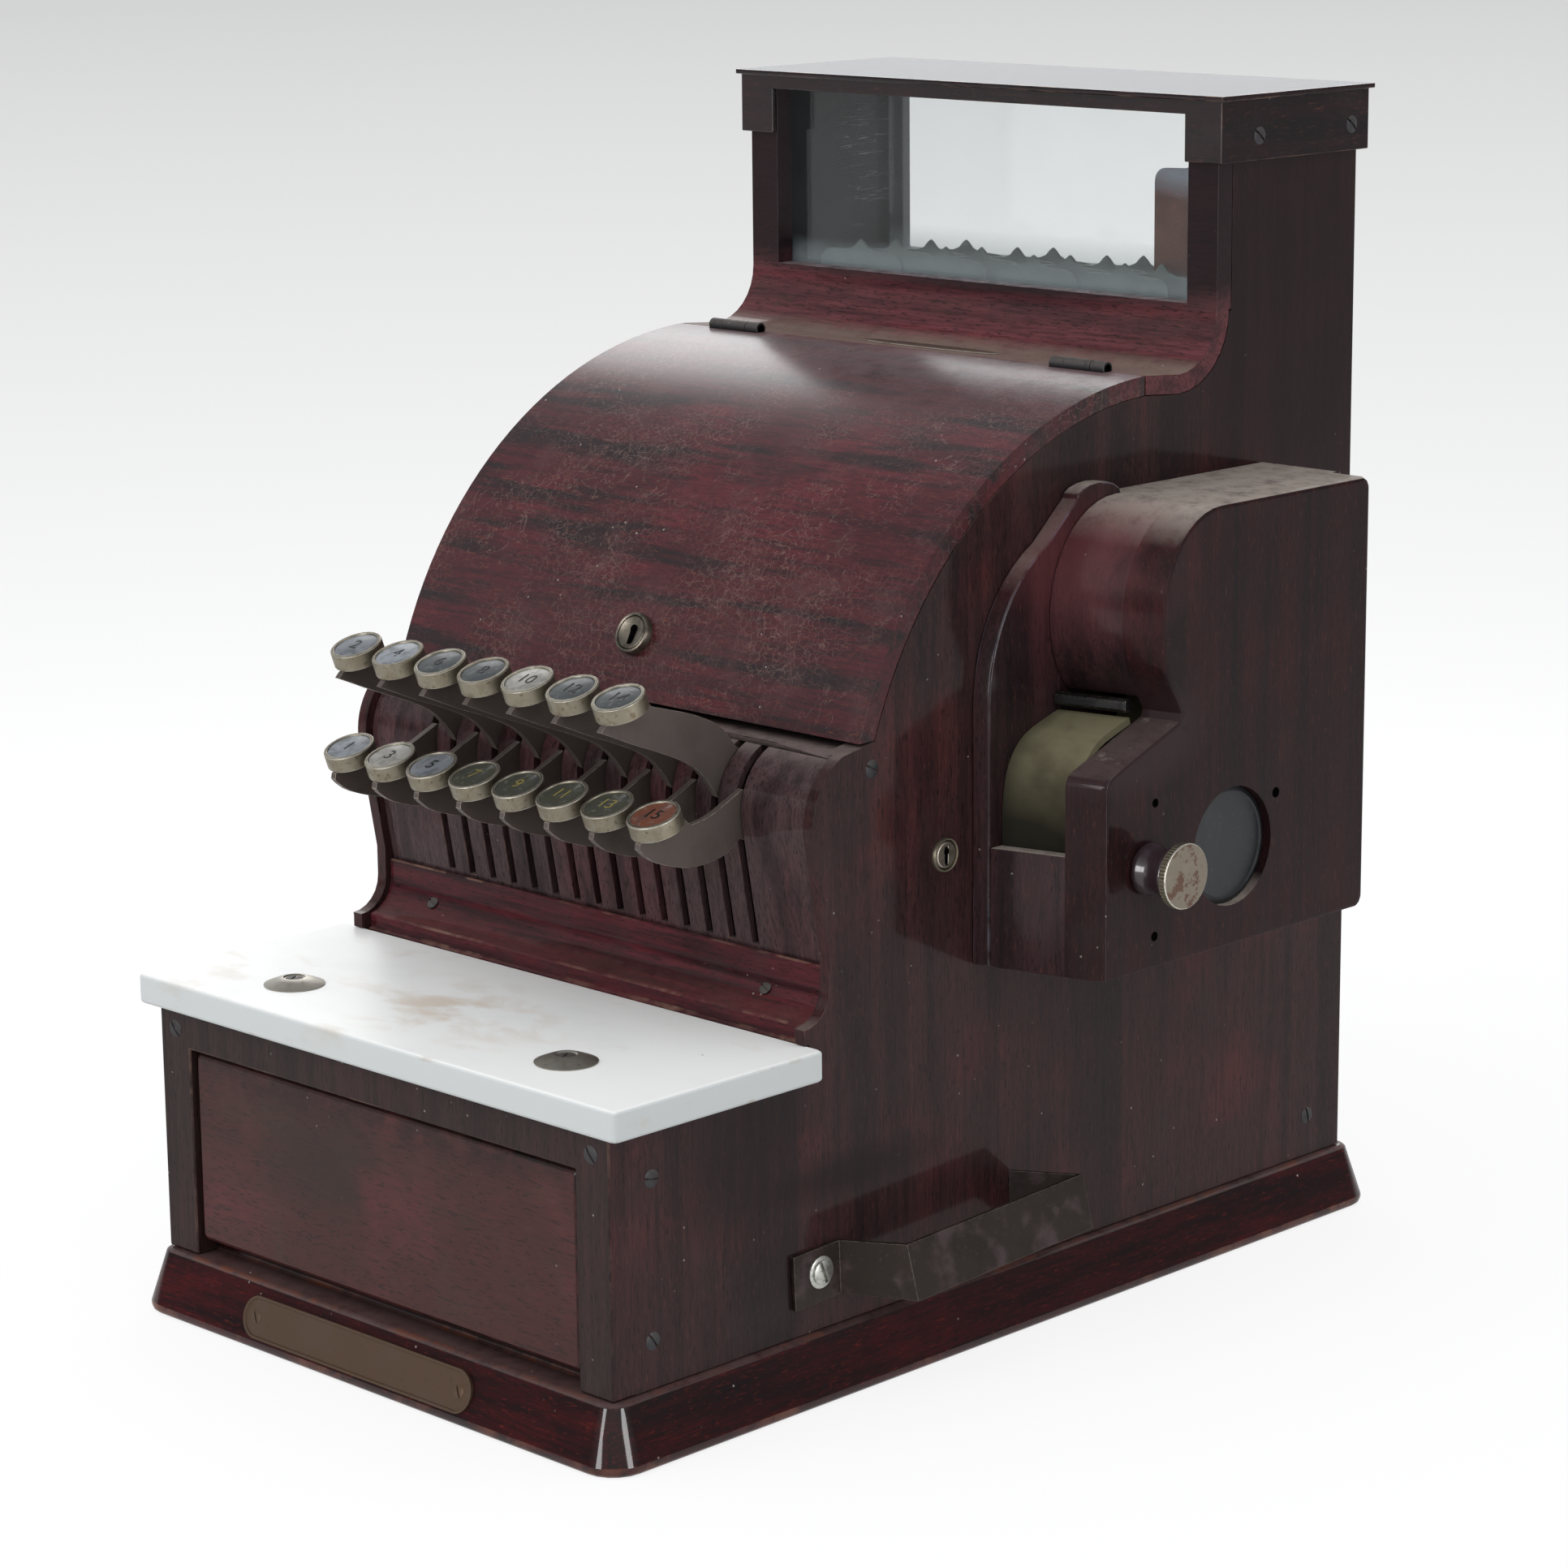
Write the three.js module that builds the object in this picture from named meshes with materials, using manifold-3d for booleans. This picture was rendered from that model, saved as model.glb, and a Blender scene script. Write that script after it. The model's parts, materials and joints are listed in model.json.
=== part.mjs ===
// An antique counter register for tickets and small sales: a wooden cabinet with a drawer under a marble
// shelf, fifteen lever keys, a curved hinged lid, a glazed display box and a paper printer on its right side.
// Millimetres, +Z up, front towards -Y. The origin is on the plinth's underside, under the middle of the cabinet.
import * as THREE from "three";
import { mergeVertices } from "three/addons/utils/BufferGeometryUtils.js";
import Module from "manifold-3d";

const wasm = await Module();
wasm.setup();

// Gaps and cutters
const seam = 0.3; // between pieces that are screwed or glued together
const overrun = 2; // how far a cutting shape runs past what it cuts
const runningGap = 0.4; // round shafts, plugs and rods

// Cabinet
const cabinetWidth = 236;
const cabinetDepth = 386;
const sideThickness = 9;
const backThickness = 9;
const deckThickness = 6;

// Plinth
const plinthHeight = 23.5;
const plinthFlare = 9.6;
const plinthLedge = 3;
const plinthEdge = 2.5;
const plinthEdgeInset = 1.2;
const plinthCorner = 4; // at the cabinet's own outline; the radius grows with the flare
const plinthRearReach = 2.8; // how much further the plinth stands out at the back
const floorThickness = 5;

// Front frame and drawer
const postWidth = 16.2;
const postDepth = 10;
const railHeight = 13.8;
const drawerFrontHeight = 71;
const drawerFrontThickness = 9;
const drawerRecess = 1.6;
const drawerClearance = 0.7;
const drawerEdge = 2;
const drawerBoxDepth = 282;
const drawerBoxHeight = 60;
const drawerWall = 5;
const drawerBase = 4;
const drawerSideGap = 3;
const coinRowDepth = 92;
const coinPockets = 4;
const notePockets = 3;

// Marble shelf
const marbleThickness = 11;
const marbleSideOverhang = 7.4;
const marbleFrontOverhang = 4.1;
const marbleEdge = 0.8;
const marbleCorner = 2;
const breastOverlap = 2;

// Breast: the rounded cheeks, the slotted plate between them and the cove moulding below
const shoulderRise = 74; // centre of the rounding above the marble
const shoulderSetback = 3.2; // centre of the rounding behind the lid's lower edge
const cheekRadius = 25.9;
const plateInset = 2.9;
const plateThickness = 3;
const plateTongue = 14; // the plate's flat top under the lid
const cheekLip = 4.7;
const breastSlopeAngle = 10; // degrees from upright
const cheekFoldAngle = 64; // degrees, where the cheek's rounding meets its flat top
const coveRadius = 12.5;
const slopeFootRise = 29; // where the straight slope ends above the marble
const coveRise = 18.2;
const coveInset = 1.9;
const mouldingHeight = 24.6;
const plateFootRise = 20;
const toeReach = 12.3;
const toeRise = 4.6;

// Keys and their slots
const keyCount = 15;
const slotWidth = 3.4;
const slotFootRise = 26;
const slotHeadDrop = 1;
const leverThickness = 2.4;
const capRadius = 9.5;
const capHeight = 5.6;
const capRim = 1.3;
const capRecess = 0.9;
const capEdge = 0.35;
const capTiltAngle = 20; // degrees
const capSink = 0.5;
const upperCapReach = 67.2; // in front of the shoulder's centre
const upperCapRise = 45.6; // above it
const lowerCapReach = 62.6;
const lowerCapRise = 6.4;
const upperExitReach = 18;
const upperExitRise = 12;
const upperLeverDepth = 16;
const lowerExitReach = 22.3;
const lowerExitDrop = 0.5;
const lowerLeverDepth = 17;
const shaftRadius = 3;
const shaftSetback = 56; // behind the shoulder's centre
const shaftDrop = 30; // below it
const leverBoss = 8;
const rearArmDepth = 6;
const noseRadius = 3;
const keyTravelAngle = 13.5; // degrees

// Share of the reach from slot to cap, and share of the lever's depth, along a lever's outline
const upperTopShares = [[-0.1, 0.5], [0.06, 1.02], [0.31, 1.38], [0.55, 1.6], [0.74, 1.77]];
const upperSeatShares = [[0.8, 1.96], [1.19, 1.54]];
const upperBottomShares = [[1.23, 1.42], [1.07, 1.22], [0.89, 0.99], [0.54, 0.58], [0.32, 0.24], [0.17, -0.2], [0.1, -0.5]];
const lowerTopShares = [[-0.02, 0.5], [0.17, 0.31], [0.4, 0.1], [0.62, 0.02]];
const lowerSeatShares = [[0.75, 0.27], [1.24, -0.12]];
const lowerBottomShares = [[1.25, -0.24], [1.2, -0.36], [1.07, -0.56], [0.85, -0.74], [0.63, -0.85], [0.4, -0.84], [0.18, -0.74], [0.02, -0.5]];

// Lid and neck
const lidRadius = 162.5;
const lidAxisRise = 47.5; // centre of the lid's curve above the marble
const lidAxisSetback = 33.5; // that centre in front of the display's face
const lidThickness = 7;
const lidGap = 3.2;
const hingeSetback = 39.5; // hinge line in front of the display's face
const hingeRise = 1; // above the lid's surface
const hingeRadius = 2.5;
const hingePinRadius = 1.1;
const hingeLength = 26;
const hingeInset = 30.5; // hinge's middle to the cabinet's side
const hingeLeafDepth = 6;
const hingeLeafThickness = 1;
const neckDip = 1.5;
const neckCove = 21;
const neckThickness = 7;

// Display box
const displayDepth = 80;
const sillRise = 1.5;
const windowHeight = 68;
const windowRail = 3;
const windowPost = 14;
const windowFrameDepth = 8;
const glassThickness = 2;
const glassLap = 4;
const rearWindowPost = 17;
const rearWindowSplay = 6; // how much wider the rear window is outside
const rearEarWidth = 8;
const capTop = 3.7;
const capSkirt = 20;
const capSideWall = 2.8;
const capFrontWall = 2;
const capPlateOverhang = 1.6;
const capPlateThickness = 1.8;

// Tablets that show in the display, and the guide that their rods run in
const tabletGap = 2.2; // between two tablets of one layer
const tabletSideGap = 8.4; // to the side panels
const tabletHeight = 46;
const tabletPeak = 4.6;
const tabletShoulder = 5;
const tabletThickness = 1.2;
const tabletTipShow = 9.3; // how far a lowered tablet's tip stands above the sill
const tabletLayers = 4;
const tabletSpacing = 8;
const firstLayerSetback = 22; // behind the display's face
const rodWidth = 4;
const rodDepth = 2.4;
const footLength = 9;
const footThickness = 2;
const guideDrop = 54; // below the sill
const guideThickness = 6;
const guideMargin = 9;
const peakShares = [[1, 0], [0.4, 0.08], [0.2, 0.35], [0.09, 0.75], [0, 1]];

// Locks
const lidLockRadius = 6;
const lidLockLength = 20;
const lidLockProud = 1.6;
const lidLockAngle = 27; // degrees above the horizontal, seen from the lid's centre
const sideLockRadius = 5.2;
const sideLockLength = 22;
const sideLockProud = 1.2;
const sideLockSetback = 67.5; // behind the marble's back edge
const sideLockRise = 54.4;
const keyholeWidth = 1.6;
const keyholeHeight = 6;
const keyholeDepth = 6;

// Printer housing on the right side
const printerFront = 81.6; // behind the marble's back edge
const printerRise = 12.2; // above the marble
const printerHeight = 159.3;
const printerDepth = 157.6;
const printerReach = 50; // out from the side panel
const printerSkewAngle = 15; // degrees, the front turns away from the cabinet
const cheekBoard = 6.4;
const outerBoard = 15.3;
const shellWall = 6;
const ledgeDrop = 116.5; // the low front's top, below the housing's top
const rimFrontRise = 67.5;
const rimCorner = 5;
const rimBackDrop = 73.3; // below the top
const rimBackReach = 42;
const notchReach = 43.3;
const notchDrop = 70.8;
const hoodCentreReach = 66.1;
const hoodReach = 35;
const hoodHeight = 39.3; // from its centre to the top
const hoodLipDrop = 26.5; // from its centre to the lip
const cheekSpringDrop = 67.3;
const cheekSpringReach = 53;
const cheekCrownDrop = 8;
const cheekBumpReach = 58;
const cheekBumpHalf = 12;
const cheekBumpRise = 5;
const housingEdge = 4;
const windowRadius = 21.5;
const windowRecess = 4.5;
const windowReach = 81.6;
const windowRise = 36.3;
const platenTopReach = 36;
const platenTopDrop = 72.8;
const platenBendReach = 18;
const platenBendDrop = 79;
const platenNoseReach = 9.6;
const platenNoseDrop = 88.5;
const platenChinReach = 6.7;
const platenChinDrop = 101;
const platenFootShare = 0.435; // of the low front's height over the floor
const platenThickness = 2.5;
const tearBarReach = 33.5;
const tearBarDrop = 71.1;
const tearBarWidth = 4;
const tearBarHeight = 5;
const spoolReach = 34.9;
const spoolRise = 36.8;
const spoolRadius = 13;
const knobShaftRadius = 3;
const knobLength = 17.7;
const knobDiscRadius = 11.6;
const knobDiscThickness = 3.2;
const knobFlangeRadius = 8.8;
const knobNeckRadius = 5.8;
const knobFlangeLength = 4;
const rollFloorGap = 9;
const rollGap = 10.8; // round the full roll, to the spool and the back wall
const rollCoreRadius = 7;
const rollCheekGap = 2;

// Bent strap on the right side, near the plinth
const strapThickness = 1.5;
const strapHeight = 19.5;
const strapFront = 84;
const strapFlange = 23;
const strapReach = 23;
const strapLegDepth = 12; // how far back the front leg runs while it comes out
const strapLength = 90;
const strapReturnDepth = 14;
const strapRise = 34;
const strapTiltAngle = 2.4; // degrees
const strapLean = 4.5; // how much further out its lower edge stands

const upperRow = 1; // every second key, from the second on, is in the upper row
const arcSteps = 28;
const roundSteps = 24;

// Places worked out from the sizes above
const halfWidth = cabinetWidth / 2;
const innerHalf = halfWidth - sideThickness;
const hingeOffset = halfWidth - hingeInset;
const betweenSides = innerHalf - seam;
const keyPitch = (2 * (innerHalf - tabletSideGap) + tabletGap) / (keyCount - 1 + tabletLayers);
const tabletWidth = tabletLayers * keyPitch - tabletGap;
const plinthTop = plinthHeight + seam;
const floorTop = plinthHeight + floorThickness;
const drawerBottom = floorTop + drawerClearance;
const drawerTop = drawerBottom + drawerFrontHeight;
const railBottom = drawerTop + drawerClearance;
const shelfBottom = railBottom + railHeight + seam;
const marbleTop = shelfBottom + marbleThickness;
const shoulderZ = marbleTop + shoulderRise;
const plateRadius = cheekRadius - plateInset;
const plateTop = shoulderZ + plateRadius;
const displayFront = cabinetDepth - displayDepth;
const lidAxisY = displayFront - lidAxisSetback;
const lidAxisZ = marbleTop + lidAxisRise;
const lidBottom = plateTop + lidGap;
const lidLowerY = lidAxisY - Math.sqrt(lidRadius ** 2 - (lidBottom - lidAxisZ) ** 2);
const shoulderY = lidLowerY + shoulderSetback;
const lidTop = lidAxisZ + lidRadius;
const neckLow = lidTop - neckDip;
const neckSill = neckLow + neckCove;
const windowBottom = neckSill + sillRise;
const windowTop = windowBottom + windowHeight;
const boxTop = windowTop + windowRail;
const fullTop = boxTop + seam + capTop;
const hingeY = displayFront - hingeSetback;
const hingeZ = lidAxisZ + Math.sqrt(lidRadius ** 2 - (hingeY - lidAxisY) ** 2) + hingeRise;
const shaftY = shoulderY + shaftSetback;
const shaftZ = shoulderZ - shaftDrop;
const deckTop = railBottom + deckThickness;
const slopeRun = Math.tan(THREE.MathUtils.degToRad(breastSlopeAngle));

// Y of the breast's straight stretch at height z, for the surface of the given rounding radius
function breastY(radius, z) {
  const angle = THREE.MathUtils.degToRad(breastSlopeAngle);
  const tangentY = shoulderY - radius * Math.cos(angle);
  const tangentZ = shoulderZ - radius * Math.sin(angle);
  return tangentY + (tangentZ - z) * slopeRun;
}

const coveZ = marbleTop + coveRise;
const slopeFootZ = marbleTop + slopeFootRise;
const cheekFootY = breastY(cheekRadius, slopeFootZ);
const marbleBack = cheekFootY - toeReach + breastOverlap;

const wood = (color) => new THREE.MeshStandardMaterial({ color, roughness: 0.45, metalness: 0 });
const metal = (color, roughness) => new THREE.MeshStandardMaterial({ color, roughness, metalness: 1 });
const finishes = {
  mahogany: wood(0x4a1f1d),
  lidWood: wood(0x5e2f31),
  innerWood: wood(0x7a5a3c),
  marble: new THREE.MeshStandardMaterial({ color: 0xe9ebe6, roughness: 0.3 }),
  glass: new THREE.MeshStandardMaterial({ color: 0xcfd8d6, roughness: 0.05, transparent: true, opacity: 0.35 }),
  leverSteel: metal(0x4b4541, 0.5),
  nickel: metal(0xb9b3a6, 0.35),
  darkSteel: metal(0x3a3734, 0.5),
  tabletPaint: new THREE.MeshStandardMaterial({ color: 0x8b9488, roughness: 0.6 }),
  flagPaint: new THREE.MeshStandardMaterial({ color: 0x8a5a3a, roughness: 0.6 }),
  paper: new THREE.MeshStandardMaterial({ color: 0x8d845c, roughness: 0.9 }),
  black: new THREE.MeshStandardMaterial({ color: 0x141414, roughness: 0.4 }),
};

const at = (a, b) => new THREE.Vector2(a, b);

// Points on a circle or ellipse, from one angle to another in degrees
function arc(centreA, centreB, radiusA, radiusB, fromAngle, toAngle, steps) {
  return Array.from({ length: steps + 1 }, (_, i) => {
    const angle = THREE.MathUtils.degToRad(fromAngle + ((toAngle - fromAngle) * i) / steps);
    return at(centreA + radiusA * Math.cos(angle), centreB + radiusB * Math.sin(angle));
  });
}

const circle = (a, b, radius, steps) => arc(a, b, radius, radius, 0, 360, steps).slice(0, steps);

// A closed solid through rings of equal point counts, with flat ends. Each ring is {points, level}.
function loft(rings, place) {
  const count = rings[0].points.length;
  const corners = rings.flatMap((ring) => ring.points.map((point) => place(point, ring.level)));
  const faces = [];
  rings.slice(1).forEach((_, k) => {
    for (let i = 0; i < count; i++) {
      const low = k * count;
      const next = (i + 1) % count;
      faces.push(low + i, low + next, low + count + next);
      faces.push(low + i, low + count + next, low + count + i);
    }
  });
  const lastRing = (rings.length - 1) * count;
  THREE.ShapeUtils.triangulateShape(rings[0].points, []).forEach(([a, b, c]) => faces.push(c, b, a));
  THREE.ShapeUtils.triangulateShape(rings.at(-1).points, []).forEach(([a, b, c]) => {
    faces.push(lastRing + a, lastRing + b, lastRing + c);
  });
  const geometry = new THREE.BufferGeometry();
  geometry.setAttribute("position", new THREE.Float32BufferAttribute(corners.flatMap((c) => [c.x, c.y, c.z]), 3));
  geometry.setIndex(faces);
  return geometry;
}

const alongX = (point, level) => new THREE.Vector3(level, point.x, point.y);
const alongZ = (point, level) => new THREE.Vector3(point.x, point.y, level);
const alongY = (point, level) => new THREE.Vector3(point.x, -level, point.y);

const counterClockwise = (points) => (THREE.ShapeUtils.isClockWise(points) ? [...points].reverse() : points);

// An outline in Y and Z, from one X to another
function boardX(points, fromX, toX) {
  const ring = counterClockwise(points);
  return loft([{ points: ring, level: fromX }, { points: ring, level: toX }], alongX);
}

// An outline in X and Y, from one Z to another
function boardZ(points, fromZ, toZ) {
  const ring = counterClockwise(points);
  return loft([{ points: ring, level: fromZ }, { points: ring, level: toZ }], alongZ);
}

// An outline in X and Z, from a front Y to a back Y
function boardY(points, frontY, backY) {
  const ring = counterClockwise(points);
  return loft([{ points: ring, level: -backY }, { points: ring, level: -frontY }], alongY);
}

const rectangle = (lowA, lowB, highA, highB) => [at(lowA, lowB), at(highA, lowB), at(highA, highB), at(lowA, highB)];

function block(lowX, lowY, lowZ, highX, highY, highZ) {
  return boardZ(rectangle(lowX, lowY, highX, highY), lowZ, highZ);
}

function roundedRectangle(lowA, lowB, highA, highB, radius, steps) {
  return [
    ...arc(highA - radius, highB - radius, radius, radius, 0, 90, steps),
    ...arc(lowA + radius, highB - radius, radius, radius, 90, 180, steps),
    ...arc(lowA + radius, lowB + radius, radius, radius, 180, 270, steps),
    ...arc(highA - radius, lowB + radius, radius, radius, 270, 360, steps),
  ];
}

function solid(geometry) {
  const bare = geometry.clone();
  bare.deleteAttribute("normal");
  bare.deleteAttribute("uv");
  const merged = mergeVertices(bare);
  return new wasm.Manifold(new wasm.Mesh({
    numProp: 3,
    vertProperties: new Float32Array(merged.attributes.position.array),
    triVerts: new Uint32Array(merged.index.array),
  }));
}

function surface(body) {
  const mesh = body.getMesh();
  const geometry = new THREE.BufferGeometry();
  geometry.setAttribute("position", new THREE.Float32BufferAttribute(mesh.vertProperties, 3));
  geometry.setIndex([...mesh.triVerts]);
  return geometry;
}

const cut = (geometry, ...tools) => surface(tools.reduce((body, tool) => body.subtract(solid(tool)), solid(geometry)));
const join = (geometry, ...others) => surface(others.reduce((body, other) => body.add(solid(other)), solid(geometry)));

function turned(profile, steps) {
  return new THREE.LatheGeometry(profile, steps);
}

const pieces = new THREE.Group();

function add(name, geometry, finish) {
  geometry.computeVertexNormals();
  const mesh = new THREE.Mesh(geometry, finish);
  mesh.name = name;
  pieces.add(mesh);
  return mesh;
}

// Plinth: a flared board with rounded corners, and the floor that the drawer slides on
function basePlinth() {
  const plinthBack = cabinetDepth + plinthRearReach;
  const ring = (reach, level) => ({
    points: roundedRectangle(-halfWidth - reach, -reach, halfWidth + reach, plinthBack + reach, plinthCorner + reach, 5),
    level,
  });
  const board = loft([
    ring(plinthFlare - plinthEdgeInset, 0),
    ring(plinthFlare, plinthEdge),
    ring(plinthLedge, plinthHeight - plinthEdge / 2),
    ring(plinthLedge - plinthEdgeInset, plinthHeight),
  ], alongZ);
  const floorBack = cabinetDepth - backThickness - seam;
  const floor = block(-betweenSides, postDepth + seam, plinthHeight - overrun, betweenSides, floorBack, floorTop);
  add("base_plinth", join(board, floor), finishes.mahogany);
}

// Outline of the breast in side view for a rounding radius: fold, rounding, straight slope
function breastCurve(radius, topAngle, footZ) {
  const rounding = arc(shoulderY, shoulderZ, radius, radius, 180 - topAngle, 180 + breastSlopeAngle, 12);
  return [...rounding, at(breastY(radius, footZ), footZ)];
}

function sideOutline() {
  const neckOuter = neckCove + neckThickness + seam;
  const neckCentreY = displayFront - neckCove;
  const frameBack = displayFront + windowFrameDepth + seam;
  const lidInner = lidRadius - lidThickness - seam;
  const landing = lidBottom - seam;
  const hingeAngle = 90 + THREE.MathUtils.radToDeg(Math.asin((lidAxisY - hingeY) / lidInner));
  const landingAngle = 180 - THREE.MathUtils.radToDeg(Math.asin((landing - lidAxisZ) / lidInner));
  return [
    at(postDepth + seam, plinthTop),
    at(cabinetDepth, plinthTop),
    at(cabinetDepth, boxTop),
    at(frameBack, boxTop),
    at(frameBack, neckSill - seam - seam),
    ...arc(neckCentreY, neckSill, neckOuter, neckOuter, -2, -90, 8),
    ...arc(lidAxisY, lidAxisZ, lidInner, lidInner, hingeAngle, landingAngle, arcSteps),
    ...breastCurve(cheekRadius, cheekFoldAngle, slopeFootZ),
    ...arc(cheekFootY - coveRadius, coveZ, coveRadius, coveRadius, 0, -90, 6),
    at(cheekFootY - toeReach, marbleTop + toeRise),
    at(cheekFootY - toeReach, marbleTop + seam),
    at(marbleBack + seam, marbleTop + seam),
    at(marbleBack + seam, shelfBottom - seam),
    at(postDepth + seam, shelfBottom - seam),
  ];
}

// The rebate in each side panel that the breast plate and the moulding sit in
function rebateOutline() {
  const inner = plateRadius - plateThickness - seam;
  const foot = shelfBottom - seam;
  const tongue = shoulderY + plateTongue + seam;
  return [
    at(postDepth, foot),
    ...breastCurve(inner, 90, foot).reverse(),
    at(tongue, shoulderZ + inner),
    at(tongue, plateTop + seam),
    at(postDepth, plateTop + seam),
  ];
}

const lockY = marbleBack + sideLockSetback;
const lockZ = marbleTop + sideLockRise;

function sidePanels() {
  const outline = sideOutline();
  const rebate = rebateOutline();
  const breastHalf = halfWidth - cheekLip;
  const left = boardX(outline, -halfWidth, -innerHalf);
  const right = boardX(outline, innerHalf, halfWidth);
  const leftRebate = boardX(rebate, -breastHalf, -innerHalf + overrun);
  const rightRebate = boardX(rebate, innerHalf - overrun, breastHalf);
  const lockHole = boardX(circle(lockY, lockZ, sideLockRadius + runningGap, roundSteps), innerHalf - overrun, halfWidth + overrun);
  add("side_panel_left", cut(left, leftRebate), finishes.mahogany);
  add("side_panel_right", cut(right, rightRebate, lockHole), finishes.mahogany);
}

function backPanel() {
  const panel = block(-betweenSides, cabinetDepth - backThickness, plinthTop, betweenSides, cabinetDepth, boxTop);
  const innerHalfWidth = halfWidth - rearWindowPost;
  const outerHalfWidth = innerHalfWidth + rearWindowSplay;
  const opening = boardZ([
    at(-innerHalfWidth, cabinetDepth - backThickness - overrun),
    at(innerHalfWidth, cabinetDepth - backThickness - overrun),
    at(outerHalfWidth, cabinetDepth + overrun),
    at(-outerHalfWidth, cabinetDepth + overrun),
  ], windowBottom, windowTop);
  add("back_panel", cut(panel, opening), finishes.mahogany);
}

function frontFrame() {
  const openingHalf = halfWidth - postWidth;
  const top = shelfBottom - seam;
  const outline = [
    at(-halfWidth, plinthTop),
    at(-openingHalf, plinthTop),
    at(-openingHalf, railBottom),
    at(openingHalf, railBottom),
    at(openingHalf, plinthTop),
    at(halfWidth, plinthTop),
    at(halfWidth, top),
    at(-halfWidth, top),
  ];
  add("front_frame", boardY(outline, 0, postDepth), finishes.mahogany);
}

function mechanismDeck() {
  const back = cabinetDepth - backThickness - seam;
  const deck = block(-betweenSides, postDepth + seam, railBottom, betweenSides, back, deckTop);
  add("mechanism_deck", deck, finishes.innerWood);
}

function marbleShelf() {
  const half = halfWidth + marbleSideOverhang;
  const ring = (inset, level) => ({
    points: roundedRectangle(-half + inset, -marbleFrontOverhang + inset, half - inset, marbleBack - inset, marbleCorner, 2),
    level,
  });
  const slab = loft([
    ring(marbleEdge, shelfBottom),
    ring(0, shelfBottom + marbleEdge),
    ring(0, marbleTop - marbleEdge),
    ring(marbleEdge, marbleTop),
  ], alongZ);
  add("marble_shelf", slab, finishes.marble);
}

const slotX = (key) => (key - (keyCount - 1) / 2) * keyPitch;

function breastPlate() {
  const foot = marbleTop + plateFootRise;
  const half = halfWidth - cheekLip - seam;
  const inner = plateRadius - plateThickness;
  const outer = breastCurve(plateRadius, 90, foot);
  const back = breastCurve(inner, 90, foot);
  const tongue = shoulderY + plateTongue;
  const outline = [at(tongue, plateTop), ...outer, ...back.reverse(), at(tongue, plateTop - plateThickness)];
  const slotFoot = marbleTop + slotFootRise;
  const slotHead = plateTop - slotHeadDrop;
  const slots = Array.from({ length: keyCount }, (_, key) => {
    const x = slotX(key);
    return block(x - slotWidth / 2, shoulderY - cheekRadius - overrun, slotFoot, x + slotWidth / 2, shoulderY - overrun, slotHead);
  });
  add("breast_plate", cut(boardX(outline, -half, half), ...slots), finishes.mahogany);
}

// The cove moulding closes the breast behind the marble
function coveMoulding() {
  const half = halfWidth - cheekLip - seam;
  const top = marbleTop + mouldingHeight;
  const faceY = cheekFootY + coveInset;
  const backRadius = plateRadius + seam;
  const outline = [
    at(marbleBack + seam, shelfBottom),
    at(breastY(backRadius, shelfBottom), shelfBottom),
    at(breastY(backRadius, top), top),
    at(faceY, top),
    ...arc(faceY - coveRadius, coveZ - seam, coveRadius, coveRadius, 0, -80, 6),
    at(faceY - coveRadius + coveInset, marbleTop + toeRise),
    at(faceY - coveRadius + coveInset, marbleTop + seam),
    at(marbleBack + seam, marbleTop + seam),
  ];
  add("cove_moulding", boardX(outline, -half, half), finishes.mahogany);
}

// Lid: a curved board hinged at its back edge, lying on the side panels
function lid() {
  const rearY = hingeY - seam;
  const inner = lidRadius - lidThickness;
  const angleAtY = (radius) => 90 + THREE.MathUtils.radToDeg(Math.asin((lidAxisY - rearY) / radius));
  const angleAtZ = (radius) => 180 - THREE.MathUtils.radToDeg(Math.asin((lidBottom - lidAxisZ) / radius));
  const outline = [
    ...arc(lidAxisY, lidAxisZ, lidRadius, lidRadius, angleAtY(lidRadius), angleAtZ(lidRadius), arcSteps),
    ...arc(lidAxisY, lidAxisZ, inner, inner, angleAtZ(inner), angleAtY(inner), arcSteps),
  ];
  const hingeCuts = [-hingeOffset, hingeOffset].map((x) => {
    const half = hingeLength / 2 + seam;
    return boardX(circle(hingeY, hingeZ, hingeRadius + runningGap, roundSteps), x - half, x + half);
  });
  const lockHole = placeOnLid(turned([at(0, -lidLockLength), at(lidLockRadius + runningGap, -lidLockLength),
    at(lidLockRadius + runningGap, lidLockLength), at(0, lidLockLength)], roundSteps));
  add("lid", cut(boardX(outline, -halfWidth, halfWidth), ...hingeCuts, lockHole), finishes.lidWood);
}

// Turns a shape whose axis is Y so that it stands out of the lid at the lock, and moves it there
function placeOnLid(geometry) {
  const angle = THREE.MathUtils.degToRad(lidLockAngle);
  const turn = new THREE.Quaternion().setFromUnitVectors(
    new THREE.Vector3(0, 1, 0), new THREE.Vector3(0, -Math.cos(angle), Math.sin(angle)));
  geometry.applyQuaternion(turn);
  geometry.translate(0, lidAxisY - lidRadius * Math.cos(angle), lidAxisZ + lidRadius * Math.sin(angle));
  return geometry;
}

// A lock's turning plug with its keyhole, along Y, its face at the given height
function lockPlug(radius, length, proud) {
  const plug = turned([at(0, proud - length), at(radius, proud - length), at(radius, proud - radius / 6),
    at(radius - radius / 6, proud), at(0, proud)], roundSteps);
  const keyhole = new THREE.BoxGeometry(keyholeWidth, keyholeDepth, keyholeHeight);
  keyhole.translate(0, proud, 0);
  return cut(plug, keyhole);
}

function locks() {
  add("lid_lock", placeOnLid(lockPlug(lidLockRadius, lidLockLength, lidLockProud)), finishes.nickel);
  const plug = lockPlug(sideLockRadius, sideLockLength, sideLockProud);
  plug.rotateZ(-Math.PI / 2);
  plug.translate(halfWidth, lockY, lockZ);
  add("side_lock", plug, finishes.nickel);
}

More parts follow.
